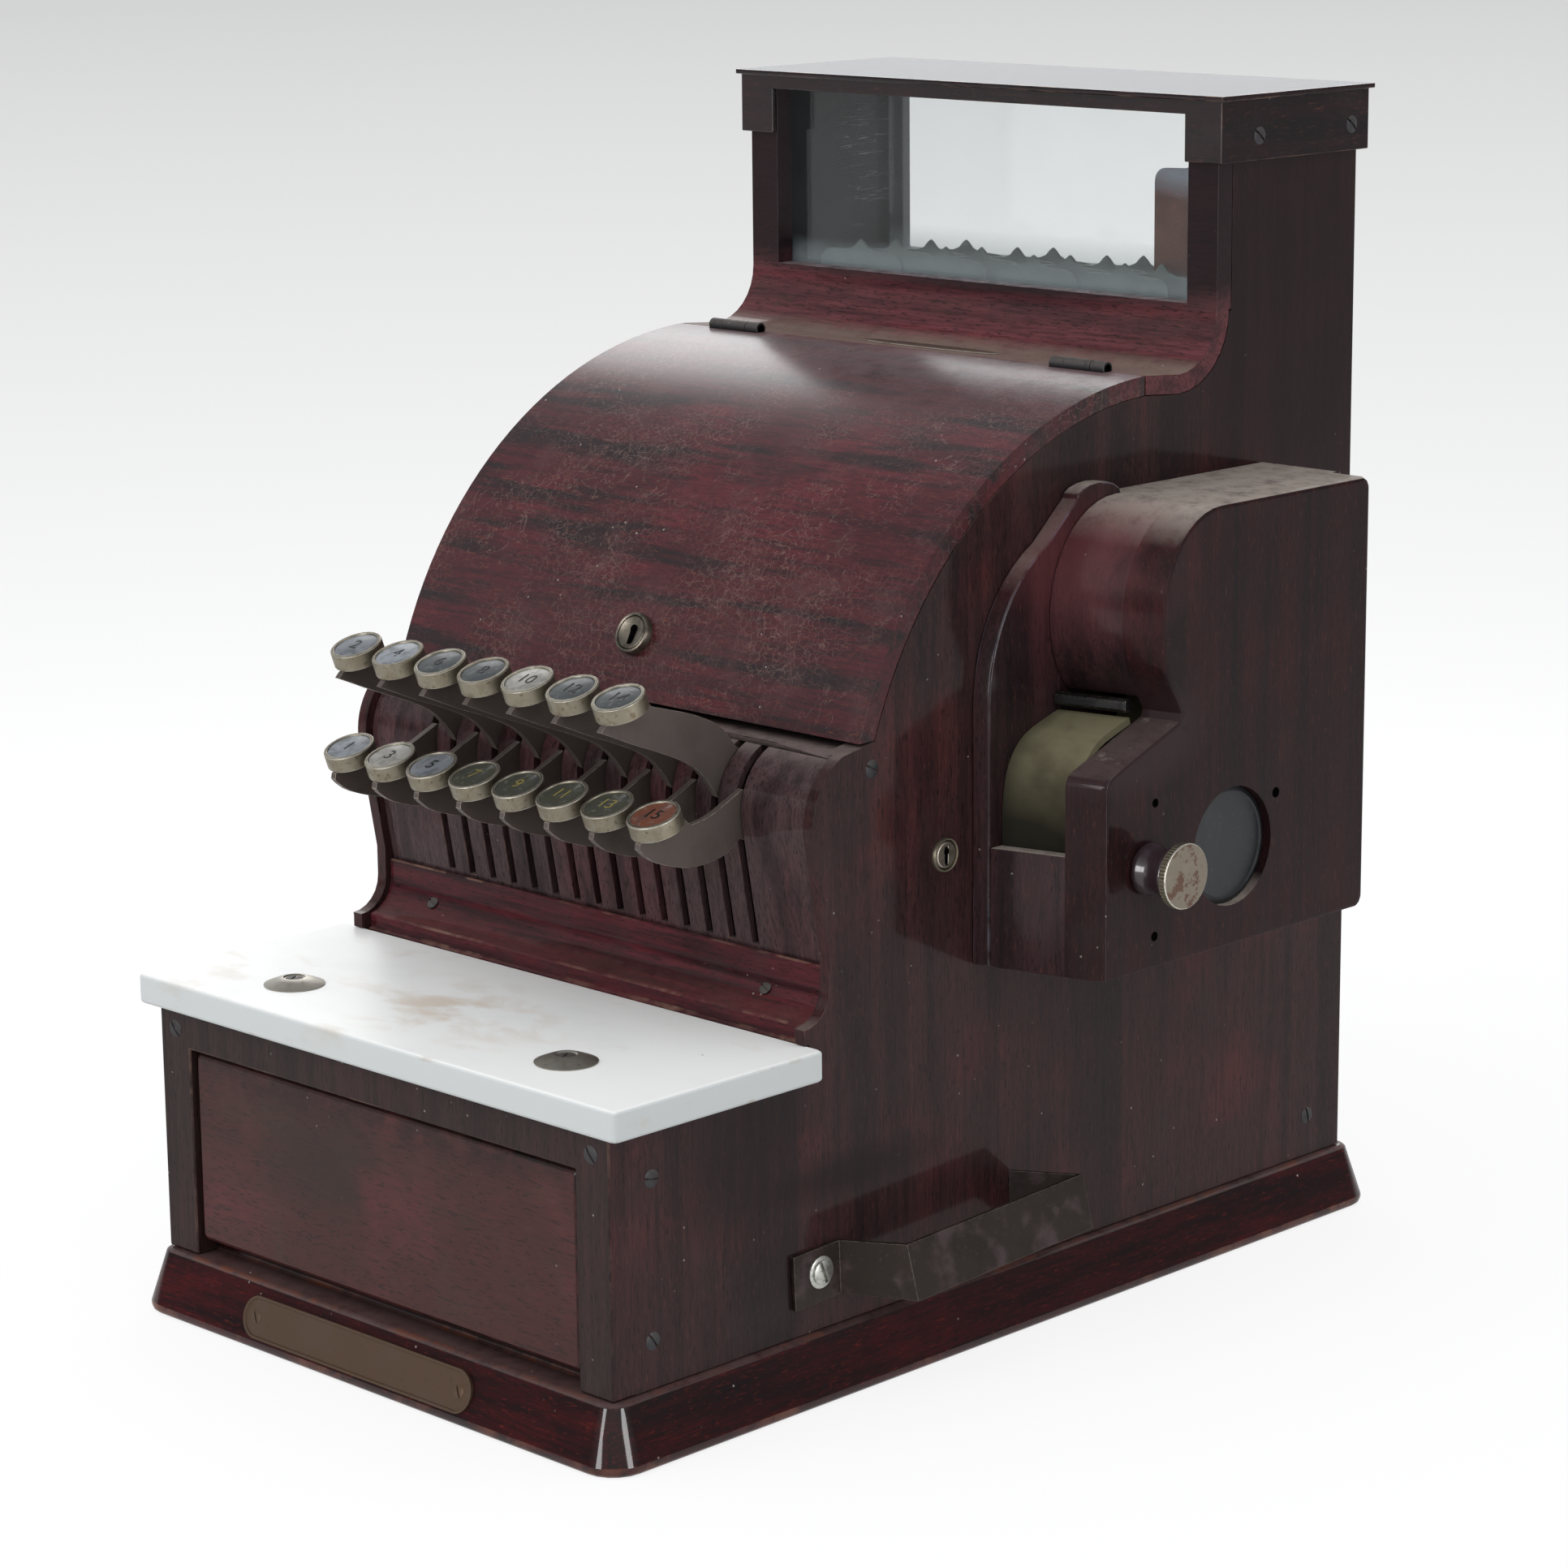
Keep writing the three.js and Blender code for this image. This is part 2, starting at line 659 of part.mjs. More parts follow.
// Neck board behind the lid, coved up to the window frame of the display
function neckPanel() {
  const centreY = displayFront - neckCove;
  const lower = neckCove + neckThickness;
  const startY = hingeY + seam;
  const startZ = lidAxisZ + Math.sqrt(lidRadius ** 2 - (startY - lidAxisY) ** 2);
  const outline = [
    at(startY, startZ),
    at(startY, startZ - neckThickness),
    ...arc(centreY, neckSill, lower, lower, -90, 0, 8),
    ...arc(centreY, neckSill, neckCove, neckCove, 0, -90, 8),
  ];
  const frame = block(-halfWidth, displayFront, neckSill - seam, halfWidth, displayFront + windowFrameDepth, boxTop);
  const openingHalf = halfWidth - windowPost;
  const opening = block(-openingHalf, displayFront - overrun, windowBottom, openingHalf, displayFront + windowFrameDepth + overrun, windowTop);
  const hingeCuts = [-hingeOffset, hingeOffset].flatMap((x) => {
    const half = hingeLength / 2 + seam;
    const leafHalf = half;
    const barrel = boardX(circle(hingeY, hingeZ, hingeRadius + seam, roundSteps), x - half, x + half);
    const leaf = block(x - leafHalf, hingeY, hingeZ - hingeLeafDepth - seam, x + leafHalf, startY + hingeLeafThickness + seam, hingeZ);
    return [barrel, leaf];
  });
  const neck = cut(boardX(outline, -halfWidth, halfWidth), ...hingeCuts);
  add("neck_panel", join(neck, cut(frame, opening)), finishes.mahogany);
}

// The fixed half of each barrel hinge: two knuckles, the pin through them and the leaf in the neck
function hinges() {
  [["hinge_left", -hingeOffset], ["hinge_right", hingeOffset]].forEach(([name, x]) => {
    const half = hingeLength / 2;
    const knuckle = hingeLength / 4;
    const pin = boardX(circle(hingeY, hingeZ, hingePinRadius, 12), x - half + seam, x + half - seam);
    const first = boardX(circle(hingeY, hingeZ, hingeRadius, roundSteps), x - half, x - half + knuckle);
    const second = boardX(circle(hingeY, hingeZ, hingeRadius, roundSteps), x + half - knuckle, x + half);
    const leafFront = hingeY + seam;
    const leafBack = leafFront + hingeLeafThickness;
    const leafTop = hingeZ - hingeRadius - seam;
    const leaf = block(x - half, leafFront, hingeZ - hingeLeafDepth, x + half, leafBack, leafTop);
    const tabs = [x - half, x + half - knuckle].map((low) => block(low, leafFront, leafTop - seam, low + knuckle, leafBack, hingeZ));
    add(name, join(pin, first, second, leaf, ...tabs), finishes.darkSteel);
  });
}

function glazing() {
  const half = halfWidth - windowPost + glassLap;
  const low = windowBottom - sillRise;
  const high = windowTop + windowRail / 2;
  const frontY = displayFront + windowFrameDepth + seam;
  const rearY = cabinetDepth - backThickness - seam;
  add("front_glass", block(-half, frontY, low, half, frontY + glassThickness, high), finishes.glass);
  add("rear_glass", block(-half, rearY - glassThickness, low, half, rearY, high), finishes.glass);
}

// Cap over the display box: a thin top plate on a skirt, open at the front between two ears
function displayCap() {
  const reach = halfWidth + seam + capSideWall;
  const front = displayFront - seam - capFrontWall;
  const back = cabinetDepth + seam + capSideWall;
  const skirtBottom = boxTop - capSkirt;
  const plateBottom = fullTop - capPlateThickness;
  const body = block(-reach, front, skirtBottom, reach, back, plateBottom + seam);
  const plate = block(-reach - capPlateOverhang, front - capPlateOverhang, plateBottom, reach + capPlateOverhang, back + capPlateOverhang, fullTop);
  const inside = block(-halfWidth - seam, displayFront - seam, skirtBottom - overrun, halfWidth + seam, cabinetDepth + seam, boxTop + seam);
  const openingHalf = halfWidth - windowPost;
  const earGap = block(-openingHalf, front - overrun, skirtBottom - overrun, openingHalf, displayFront, windowTop);
  const rearHalf = halfWidth - rearEarWidth;
  const rearGap = block(-rearHalf, cabinetDepth, skirtBottom - overrun, rearHalf, back + overrun, windowTop);
  add("display_cap", cut(join(body, plate), inside, earGap, rearGap), finishes.mahogany);
}

// Drawer front with eased edges
function drawerFront() {
  const half = halfWidth - postWidth - drawerClearance;
  const back = drawerRecess + drawerFrontThickness;
  const ring = (inset, y) => ({
    points: roundedRectangle(-half + inset, drawerBottom + inset, half - inset, drawerTop - inset, drawerEdge, 3),
    level: -y,
  });
  const board = loft([
    ring(0, back),
    ring(0, drawerRecess + drawerEdge),
    ring(drawerEdge / 4, drawerRecess + drawerEdge / 3),
    ring(drawerEdge, drawerRecess),
  ], alongY);
  add("drawer_front", board, finishes.mahogany);
}

// Drawer box: a till with a row of coin pockets in front and longer note pockets behind
function drawerBox() {
  const half = halfWidth - postWidth - drawerSideGap;
  const front = drawerRecess + drawerFrontThickness + seam;
  const back = front + drawerBoxDepth;
  const top = drawerBottom + drawerBoxHeight;
  const pocketFloor = drawerBottom + drawerBase;
  const pocketRow = (count, frontY, backY) => {
    const pitch = (2 * half - drawerWall) / count;
    return Array.from({ length: count }, (_, i) => {
      const left = -half + drawerWall + i * pitch;
      return block(left, frontY, pocketFloor, left + pitch - drawerWall, backY, top + overrun);
    });
  };
  const coinBack = front + drawerWall + coinRowDepth;
  const coins = pocketRow(coinPockets, front + drawerWall, coinBack);
  const notes = pocketRow(notePockets, coinBack + drawerWall, back - drawerWall);
  add("drawer_box", cut(block(-half, front, drawerBottom, half, back, top), ...coins, ...notes), finishes.innerWood);
}

const turn = (degrees) => THREE.MathUtils.degToRad(degrees);
const layerY = (key) => displayFront + firstLayerSetback + (key % tabletLayers) * tabletSpacing;
const inUpperRow = (key) => key % 2 === upperRow;
const footZ = shaftZ + noseRadius + seam;

// Outline of one lever: nose, rear arm, boss on the shaft, front arm, seat under the cap and back again
function leverOutline(key, row) {
  const exitY = shoulderY - row.exitReach;
  const capSeatY = row.capY + capHeight * Math.sin(turn(capTiltAngle));
  const reach = exitY - capSeatY;
  const along = (shares) => shares.map(([a, b]) => at(exitY - a * reach, row.exitZ + b * row.depth));
  const smooth = (points) => new THREE.SplineCurve(points).getPoints(2 * points.length);
  const bossOut = leverBoss * Math.SQRT1_2;
  return [
    ...arc(layerY(key), shaftZ, noseRadius, noseRadius, -90, 90, 6),
    at(shaftY + bossOut * 3, shaftZ + rearArmDepth / 2),
    ...arc(shaftY, shaftZ, leverBoss, leverBoss, 45, 110, 4),
    ...smooth(along(row.topShares)),
    ...along(row.seatShares),
    ...smooth(along(row.bottomShares)),
    ...arc(shaftY, shaftZ, leverBoss, leverBoss, 235, 315, 5),
    at(shaftY + bossOut * 3, shaftZ - rearArmDepth / 2),
  ];
}

const rows = {
  upper: {
    capY: shoulderY - upperCapReach,
    capZ: shoulderZ + upperCapRise,
    exitReach: upperExitReach,
    exitZ: shoulderZ + upperExitRise,
    depth: upperLeverDepth,
    topShares: upperTopShares,
    seatShares: upperSeatShares,
    bottomShares: upperBottomShares,
  },
  lower: {
    capY: shoulderY - lowerCapReach,
    capZ: shoulderZ + lowerCapRise,
    exitReach: lowerExitReach,
    exitZ: shoulderZ - lowerExitDrop,
    depth: lowerLeverDepth,
    topShares: lowerTopShares,
    seatShares: lowerSeatShares,
    bottomShares: lowerBottomShares,
  },
};

// A round key cap with a raised rim, tilted towards the clerk
function keyCap(x, row) {
  const rimInner = capRadius - capRim;
  const cap = turned([
    at(0, -capHeight - capSink),
    at(capRadius - capEdge, -capHeight - capSink),
    at(capRadius, -capHeight - capSink + capEdge),
    at(capRadius, -capEdge),
    at(capRadius - capEdge, 0),
    at(rimInner, 0),
    at(rimInner - capEdge, -capRecess),
    at(0, -capRecess),
  ], roundSteps);
  cap.rotateX(Math.PI / 2 + turn(capTiltAngle));
  cap.translate(x, row.capY, row.capZ);
  return cap;
}

function keys() {
  for (let key = 0; key < keyCount; key++) {
    const row = inUpperRow(key) ? rows.upper : rows.lower;
    const x = slotX(key);
    const lever = boardX(leverOutline(key, row), x - leverThickness / 2, x + leverThickness / 2);
    const bore = boardX(circle(shaftY, shaftZ, shaftRadius + runningGap, roundSteps), x - leverThickness, x + leverThickness);
    const name = "key_" + String(key + 1).padStart(2, "0");
    add(name, join(cut(lever, bore), keyCap(x, row)), finishes.leverSteel);
  }
  const shaft = boardX(circle(shaftY, shaftZ, shaftRadius, roundSteps), -betweenSides, betweenSides);
  add("key_shaft", shaft, finishes.darkSteel);
}

// One tablet: a plate with rounded shoulders and a pointed top, on a rod with a foot over its lever
function tablet(key, lift) {
  const x = slotX(key);
  const y = layerY(key);
  const half = tabletWidth / 2;
  const top = windowBottom + tabletTipShow;
  const shoulder = top - tabletPeak;
  const bottom = top - tabletHeight;
  const rightPeak = peakShares.map(([a, b]) => at(x + a * (half - tabletShoulder), shoulder + b * tabletPeak));
  const leftPeak = peakShares.slice(0, -1).reverse().map(([a, b]) => at(x - a * (half - tabletShoulder), shoulder + b * tabletPeak));
  const outline = [
    at(x - half, bottom),
    at(x + half, bottom),
    ...arc(x + half - tabletShoulder, shoulder - tabletShoulder, tabletShoulder, tabletShoulder, 0, 75, 4),
    ...rightPeak,
    ...leftPeak,
    ...arc(x - half + tabletShoulder, shoulder - tabletShoulder, tabletShoulder, tabletShoulder, 105, 180, 4),
  ];
  const plate = boardY(outline, y - tabletThickness / 2, y + tabletThickness / 2);
  const rod = block(x - rodWidth / 2, y - rodDepth / 2, footZ, x + rodWidth / 2, y + rodDepth / 2, bottom + overrun);
  const foot = block(x - rodWidth / 2, y + rodDepth - footLength, footZ, x + rodWidth / 2, y + rodDepth, footZ + footThickness);
  const piece = join(plate, rod, foot);
  piece.translate(0, 0, lift);
  return piece;
}

// The last key's tablet stands raised, as it stays after a sale; the others are down
function tablets() {
  const last = keyCount - 1;
  for (let key = 0; key < keyCount; key++) {
    const raised = key === last ? (layerY(key) - shaftY) * turn(keyTravelAngle) : 0;
    const name = "tablet_" + String(key + 1).padStart(2, "0");
    add(name, tablet(key, raised), key === last ? finishes.flagPaint : finishes.tabletPaint);
  }
}

// Plate across the case that keeps the tablet rods upright
function tabletGuide() {
  const lastLayer = displayFront + firstLayerSetback + (tabletLayers - 1) * tabletSpacing;
  const low = windowBottom - guideDrop;
  const plate = block(-betweenSides, displayFront + firstLayerSetback - guideMargin, low, betweenSides, lastLayer + guideMargin, low + guideThickness);
  const holes = Array.from({ length: keyCount }, (_, key) => {
    const halfX = rodWidth / 2 + seam;
    const halfY = rodDepth / 2 + seam;
    const x = slotX(key);
    const y = layerY(key);
    return block(x - halfX, y - halfY, low - overrun, x + halfX, y + halfY, low + guideThickness + overrun);
  });
  add("tablet_guide", cut(plate, ...holes), finishes.darkSteel);
}

// Printer housing. Its outlines are drawn in the plane of the cabinet's side, and the front turns away
// from the cabinet, so a point moves back in step with its distance from that plane.
const housingY = marbleBack + printerFront;
const housingZ = marbleTop + printerRise;
const housingBack = housingY + printerDepth;
const housingTop = housingZ + printerHeight;
const housingFace = halfWidth + seam;
const outerBoardX = housingFace + printerReach - outerBoard;
const outerX = housingFace + printerReach;
const hoodY = housingY + hoodCentreReach;
const hoodZ = housingTop - hoodHeight;
const lipZ = hoodZ - hoodLipDrop;
const ledgeZ = housingTop - ledgeDrop;

function skewed(point, x) {
  const share = THREE.MathUtils.clamp((housingBack - point.x) / printerDepth, 0, 1);
  return new THREE.Vector3(x, point.x + (x - halfWidth) * Math.tan(turn(printerSkewAngle)) * share, point.y);
}

function housingBoard(points, fromX, toX) {
  const ring = counterClockwise(points);
  return loft([{ points: ring, level: fromX }, { points: ring, level: toX }], skewed);
}

function hoodArc(inset, fromZ, steps) {
  const low = THREE.MathUtils.radToDeg(Math.asin((hoodZ - fromZ) / (hoodHeight - inset)));
  return arc(hoodY, hoodZ, hoodReach - inset, hoodHeight - inset, 180 + low, 90, steps);
}

function printerCheek() {
  const springZ = housingTop - cheekSpringDrop;
  const crownZ = housingTop - cheekCrownDrop;
  const bumpY = housingY + cheekBumpReach;
  const rise = crownZ - springZ;
  const outline = [
    at(housingY, housingZ),
    at(housingY, springZ),
    ...arc(housingY + cheekSpringReach, springZ, cheekSpringReach, rise, 180, 115, 10).slice(1),
    ...arc(bumpY, housingTop, cheekBumpHalf, cheekBumpRise, 180, 0, 8),
    at(housingBack, housingTop),
    at(housingBack, housingZ),
  ];
  add("printer_cheek", housingBoard(outline, housingFace, housingFace + cheekBoard), finishes.mahogany);
}

// The shell between cheek and outer board: hood, top, back, bottom and the low front under the paper
function printerShell() {
  const ledge = ledgeZ;
  const outline = [
    ...hoodArc(0, lipZ, 16),
    at(housingBack, housingTop),
    at(housingBack, housingZ),
    at(housingY, housingZ),
    at(housingY, ledge),
    at(housingY + shellWall, ledge),
    at(housingY + shellWall, housingZ + shellWall),
    at(housingBack - shellWall, housingZ + shellWall),
    at(housingBack - shellWall, housingTop - shellWall),
    ...hoodArc(shellWall, lipZ, 16).reverse(),
  ];
  const fromX = housingFace + cheekBoard + seam;
  add("printer_shell", housingBoard(outline, fromX, outerBoardX - seam), finishes.mahogany);
}

// Outer board with its sloping rim, the notch under the hood, the round window and the knob's hole
function outerOutline(inset) {
  const front = housingY + inset;
  const rimZ = housingZ + rimFrontRise - inset / 2;
  return [
    at(front, housingZ + inset),
    at(front, rimZ),
    ...arc(front + rimCorner, rimZ, rimCorner, rimCorner, 180, 110, 3).slice(1),
    at(housingY + rimBackReach, housingTop - rimBackDrop - inset),
    at(housingY + notchReach + inset, housingTop - notchDrop),
    ...hoodArc(inset, lipZ, 16),
    at(housingBack - housingEdge - inset, housingTop - inset),
    ...arc(housingBack - housingEdge - inset, housingTop - housingEdge - inset, housingEdge, housingEdge, 75, 15, 2),
    at(housingBack - inset, housingTop - housingEdge - inset),
    at(housingBack - inset, housingZ + housingEdge + inset),
    ...arc(housingBack - housingEdge - inset, housingZ + housingEdge + inset, housingEdge, housingEdge, -15, -75, 2),
    at(housingBack - housingEdge - inset, housingZ + inset),
  ];
}

function printerSide() {
  const eased = housingEdge / 2;
  const board = loft([
    { points: counterClockwise(outerOutline(0)), level: outerBoardX },
    { points: counterClockwise(outerOutline(0)), level: outerX - eased },
    { points: counterClockwise(outerOutline(eased / 4)), level: outerX - eased / 4 },
    { points: counterClockwise(outerOutline(eased)), level: outerX },
  ], skewed);
  const windowY = housingY + windowReach;
  const windowZ = housingZ + windowRise;
  const recess = boardX(circle(windowY, windowZ, windowRadius, 36), outerX - windowRecess, outerX + overrun);
  const hole = boardX(circle(spoolY, spoolZ, knobShaftRadius + runningGap, roundSteps), outerBoardX - overrun, outerX + overrun);
  add("printer_side", cut(board, recess, hole), finishes.mahogany);
}

const spoolY = housingY + spoolReach;
const spoolZ = housingZ + spoolRise;
const bayFrom = housingFace + cheekBoard + seam;
const bayTo = outerBoardX - seam;
const rollRoom = printerDepth - shellWall - spoolReach - spoolRadius;
const rollRadius = rollRoom / 2 - rollGap;

// Curved writing platen that the paper runs over
function paperPlaten() {
  const route = [
    at(housingY + platenTopReach, housingTop - platenTopDrop),
    at(housingY + platenBendReach, housingTop - platenBendDrop),
    at(housingY + platenNoseReach, housingTop - platenNoseDrop),
    at(housingY + platenChinReach, housingTop - platenChinDrop),
    at(housingY + shellWall + seam, ledgeZ),
    at(housingY + shellWall + seam, housingZ + shellWall + (ledgeZ - housingZ - shellWall) * platenFootShare),
  ];
  const outer = new THREE.SplineCurve(route).getPoints(20);
  const inner = outer.map((point, i) => {
    const before = outer[Math.max(i - 1, 0)];
    const after = outer[Math.min(i + 1, outer.length - 1)];
    const across = at(before.y - after.y, after.x - before.x).normalize().multiplyScalar(platenThickness);
    return at(point.x + across.x, point.y + across.y);
  });
  add("paper_platen", housingBoard([...outer, ...inner.reverse()], bayFrom, bayTo), finishes.paper);
}

function tearBar() {
  const y = housingY + tearBarReach;
  const z = housingTop - tearBarDrop;
  const outline = roundedRectangle(y, z, y + tearBarWidth, z + tearBarHeight, tearBarWidth / 3, 3);
  add("tear_bar", housingBoard(outline, bayFrom, bayTo), finishes.black);
}

// Feed knob with its shaft and the take-up spool inside the housing
function feedKnob() {
  const faceX = outerX + knobLength;
  const discX = faceX - knobDiscThickness;
  const spoolFrom = bayFrom + rollCheekGap;
  const spoolTo = bayTo - rollCheekGap;
  const profile = [
    at(0, bayFrom),
    at(knobShaftRadius, bayFrom),
    at(knobShaftRadius, spoolFrom),
    at(spoolRadius, spoolFrom),
    at(spoolRadius, spoolTo),
    at(knobShaftRadius, spoolTo),
    at(knobShaftRadius, outerX + seam),
    at(knobFlangeRadius, outerX + seam),
    at(knobFlangeRadius, outerX + knobFlangeLength / 2),
    at(knobNeckRadius + seam, outerX + knobFlangeLength),
    at(knobNeckRadius, outerX + knobFlangeLength * 2),
    at(knobFlangeRadius, discX),
    at(knobDiscRadius - seam, discX),
    at(knobDiscRadius, discX + seam),
    at(knobDiscRadius, faceX - seam),
    at(knobDiscRadius - seam, faceX),
    at(0, faceX),
  ];
  const knob = turned(profile, 32);
  knob.rotateZ(-Math.PI / 2);
  knob.translate(0, spoolY, spoolZ);
  add("feed_knob", knob, finishes.nickel);
}

function paperRoll() {
  const from = bayFrom + rollCheekGap;
  const to = bayTo - rollCheekGap;
  const profile = [
    at(0, bayFrom),
    at(rollCoreRadius, bayFrom),
    at(rollCoreRadius, from),
    at(rollRadius, from),
    at(rollRadius, to),
    at(rollCoreRadius, to),
    at(rollCoreRadius, bayTo),
    at(0, bayTo),
  ];
  const roll = turned(profile, 40);
  roll.rotateZ(-Math.PI / 2);
  roll.translate(0, housingBack - shellWall - rollGap - rollRadius, housingZ + shellWall + rollFloorGap + rollRadius);
  add("paper_roll", roll, finishes.paper);
}

// Steel strap bent out from the side and back again
function sideBracket() {
  const flatX = halfWidth + seam;
  const bendY = strapFront + strapFlange;
  const cornerY = bendY + strapLegDepth;
  const rearY = cornerY + strapLength;
  const outline = (outX) => [
    at(flatX + strapThickness, strapFront),
    at(flatX + strapThickness, bendY - strapThickness / 2),
    at(outX, cornerY - strapThickness),
    at(outX, rearY),
    at(flatX, rearY - strapReturnDepth + strapThickness),
    at(flatX, rearY - strapReturnDepth),
    at(outX - strapThickness, rearY - strapThickness * 1.5),
    at(outX - strapThickness, cornerY),
    at(flatX, bendY),
    at(flatX, strapFront),
  ];
  const strap = loft([
    { points: outline(flatX + strapReach + strapLean), level: 0 },
    { points: outline(flatX + strapReach), level: strapHeight },
  ], alongZ);
  strap.translate(0, -strapFront, 0);
  strap.rotateX(turn(strapTiltAngle));
  strap.translate(0, strapFront, strapRise);
  add("side_bracket", strap, finishes.darkSteel);
}

basePlinth();
sidePanels();
backPanel();
frontFrame();
mechanismDeck();
marbleShelf();
breastPlate();
coveMoulding();
lid();
locks();
neckPanel();
hinges();
glazing();
displayCap();
drawerFront();
drawerBox();
keys();
tablets();
tabletGuide();
printerCheek();
printerShell();
printerSide();
paperPlaten();
tearBar();
feedKnob();
paperRoll();
sideBracket();

pieces.position.y = -cabinetDepth / 2;
const register = new THREE.Group();
register.add(pieces);
export default register;
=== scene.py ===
import json
import math

import bmesh
import bpy
from mathutils import Matrix, Vector

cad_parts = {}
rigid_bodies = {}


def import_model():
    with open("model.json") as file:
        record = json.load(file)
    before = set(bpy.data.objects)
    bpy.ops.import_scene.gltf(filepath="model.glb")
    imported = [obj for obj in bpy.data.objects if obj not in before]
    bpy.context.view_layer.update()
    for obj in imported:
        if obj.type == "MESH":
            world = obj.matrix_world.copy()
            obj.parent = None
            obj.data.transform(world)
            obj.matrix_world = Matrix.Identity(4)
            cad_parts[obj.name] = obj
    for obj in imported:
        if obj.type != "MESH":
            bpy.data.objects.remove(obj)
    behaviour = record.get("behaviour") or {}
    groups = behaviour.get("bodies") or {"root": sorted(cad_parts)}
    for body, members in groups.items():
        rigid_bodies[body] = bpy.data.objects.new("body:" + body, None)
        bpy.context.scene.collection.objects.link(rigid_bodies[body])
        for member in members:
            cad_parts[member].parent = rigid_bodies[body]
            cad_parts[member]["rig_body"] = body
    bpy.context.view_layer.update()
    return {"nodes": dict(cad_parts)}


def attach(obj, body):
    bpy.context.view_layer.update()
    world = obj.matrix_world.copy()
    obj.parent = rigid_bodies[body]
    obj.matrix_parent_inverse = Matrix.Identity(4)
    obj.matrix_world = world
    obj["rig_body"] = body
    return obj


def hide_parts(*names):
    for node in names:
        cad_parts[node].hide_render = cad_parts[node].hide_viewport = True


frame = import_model()
print("frame loaded")

# shared helpers

cabinet = {"halfDepth": 193, "sideX": 118}  # mm
hands = {"left": -1, "right": 1}  # the X side that each lies on
upward, rightward = (0, 0, 1), (1, 0, 0)
mergeWithin, tipWithin = 0.00001, 0.000001  # metres


def cabinetPoint(x, y, z):
    # mm from the middle of the cabinet's front face, into the frame's metres
    return Vector((x, y - cabinet["halfDepth"], z)) / 1000


def hexColour(text):
    channels = [int(text[i:i + 2], 16) / 255 for i in (0, 2, 4)]
    linear = [c / 12.92 if c <= 0.04045 else ((c + 0.055) / 1.055) ** 2.4 for c in channels]
    return (*linear, 1.0)


def setNode(tree, node, settings):
    # a setting is the node's own, or an input's value, or the output or the node that is linked to the input
    for key, value in settings.items():
        if isinstance(value, bpy.types.Node):
            value = value.outputs[0]
        if isinstance(value, bpy.types.NodeSocket):
            tree.links.new(value, node.inputs[key])
        elif isinstance(key, str) and hasattr(node, key):
            setattr(node, key, value)
        else:
            node.inputs[key].default_value = value


def addNode(tree, kind, settings=None):
    node = tree.nodes.new("ShaderNode" + kind)
    setNode(tree, node, settings or {})
    return node


def emptyTree(owner):
    owner.use_nodes = True
    owner.node_tree.nodes.clear()
    return owner.node_tree


def placing(point, outward, turn=0):
    # local +Z goes outward at a point of the cabinet in mm, local +Y as near to up as it can
    tilt = Vector(outward).to_track_quat("Z", "Y").to_matrix().to_4x4()
    return Matrix.Translation(cabinetPoint(*point)) @ tilt @ Matrix.Rotation(math.radians(turn), 4, "Z")


def makeObject(name, data):
    made = bpy.data.objects.new(name, data)
    bpy.context.scene.collection.objects.link(made)
    return made


def finishPiece(name, bm, finishes, body, smoothAngle=35, seat=None):
    # seat is the place of a shape that was made about the origin
    if seat:
        bm.transform(seat)
    mesh = bpy.data.meshes.new(name)
    bm.to_mesh(mesh)
    bm.free()
    for finish in finishes:
        mesh.materials.append(finish)
    mesh.polygons.foreach_set("use_smooth", [True] * len(mesh.polygons))
    mesh.set_sharp_from_angle(angle=math.radians(smoothAngle))
    piece = makeObject(name, mesh)
    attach(piece, body)
    return piece


dressing = {
    "flatWithin": 0.4, "sharpFrom": 28, "smoothUnder": 32,  # degrees
    "fineSteps": 2, "softSteps": 3, "broadSteps": 5, "softFrom": 1,  # faces across a rounded edge, and mm
}
wornEdges = {
    "none": 0, "board": 0.7, "thin": 0.35, "plinth": 1.6, "lid": 0.5, "marble": 0.9, "metal": 0.2, "tablet": 0.15,
    "tearBar": 1.3, "drawerFront": 3.2, "printerFace": 2.6,
}  # the radius of each kind of edge, mm


def roundEdges(bm, edges, radius, steps):
    # rounds edges by mm and marks the new faces as rounded edges, where a finish lays its edge colour: wear, and on
    # some finishes painted shade or highlight
    roundedEdge = bm.faces.layers.float["roundedEdge"]
    rounded = bmesh.ops.bevel(
        bm, geom=edges, offset=radius / 1000, offset_type="OFFSET", affect="EDGES",
        segments=steps, profile=0.5, material=-1, clamp_overlap=True,
    )
    for face in rounded["faces"]:
        face[roundedEdge] = 1


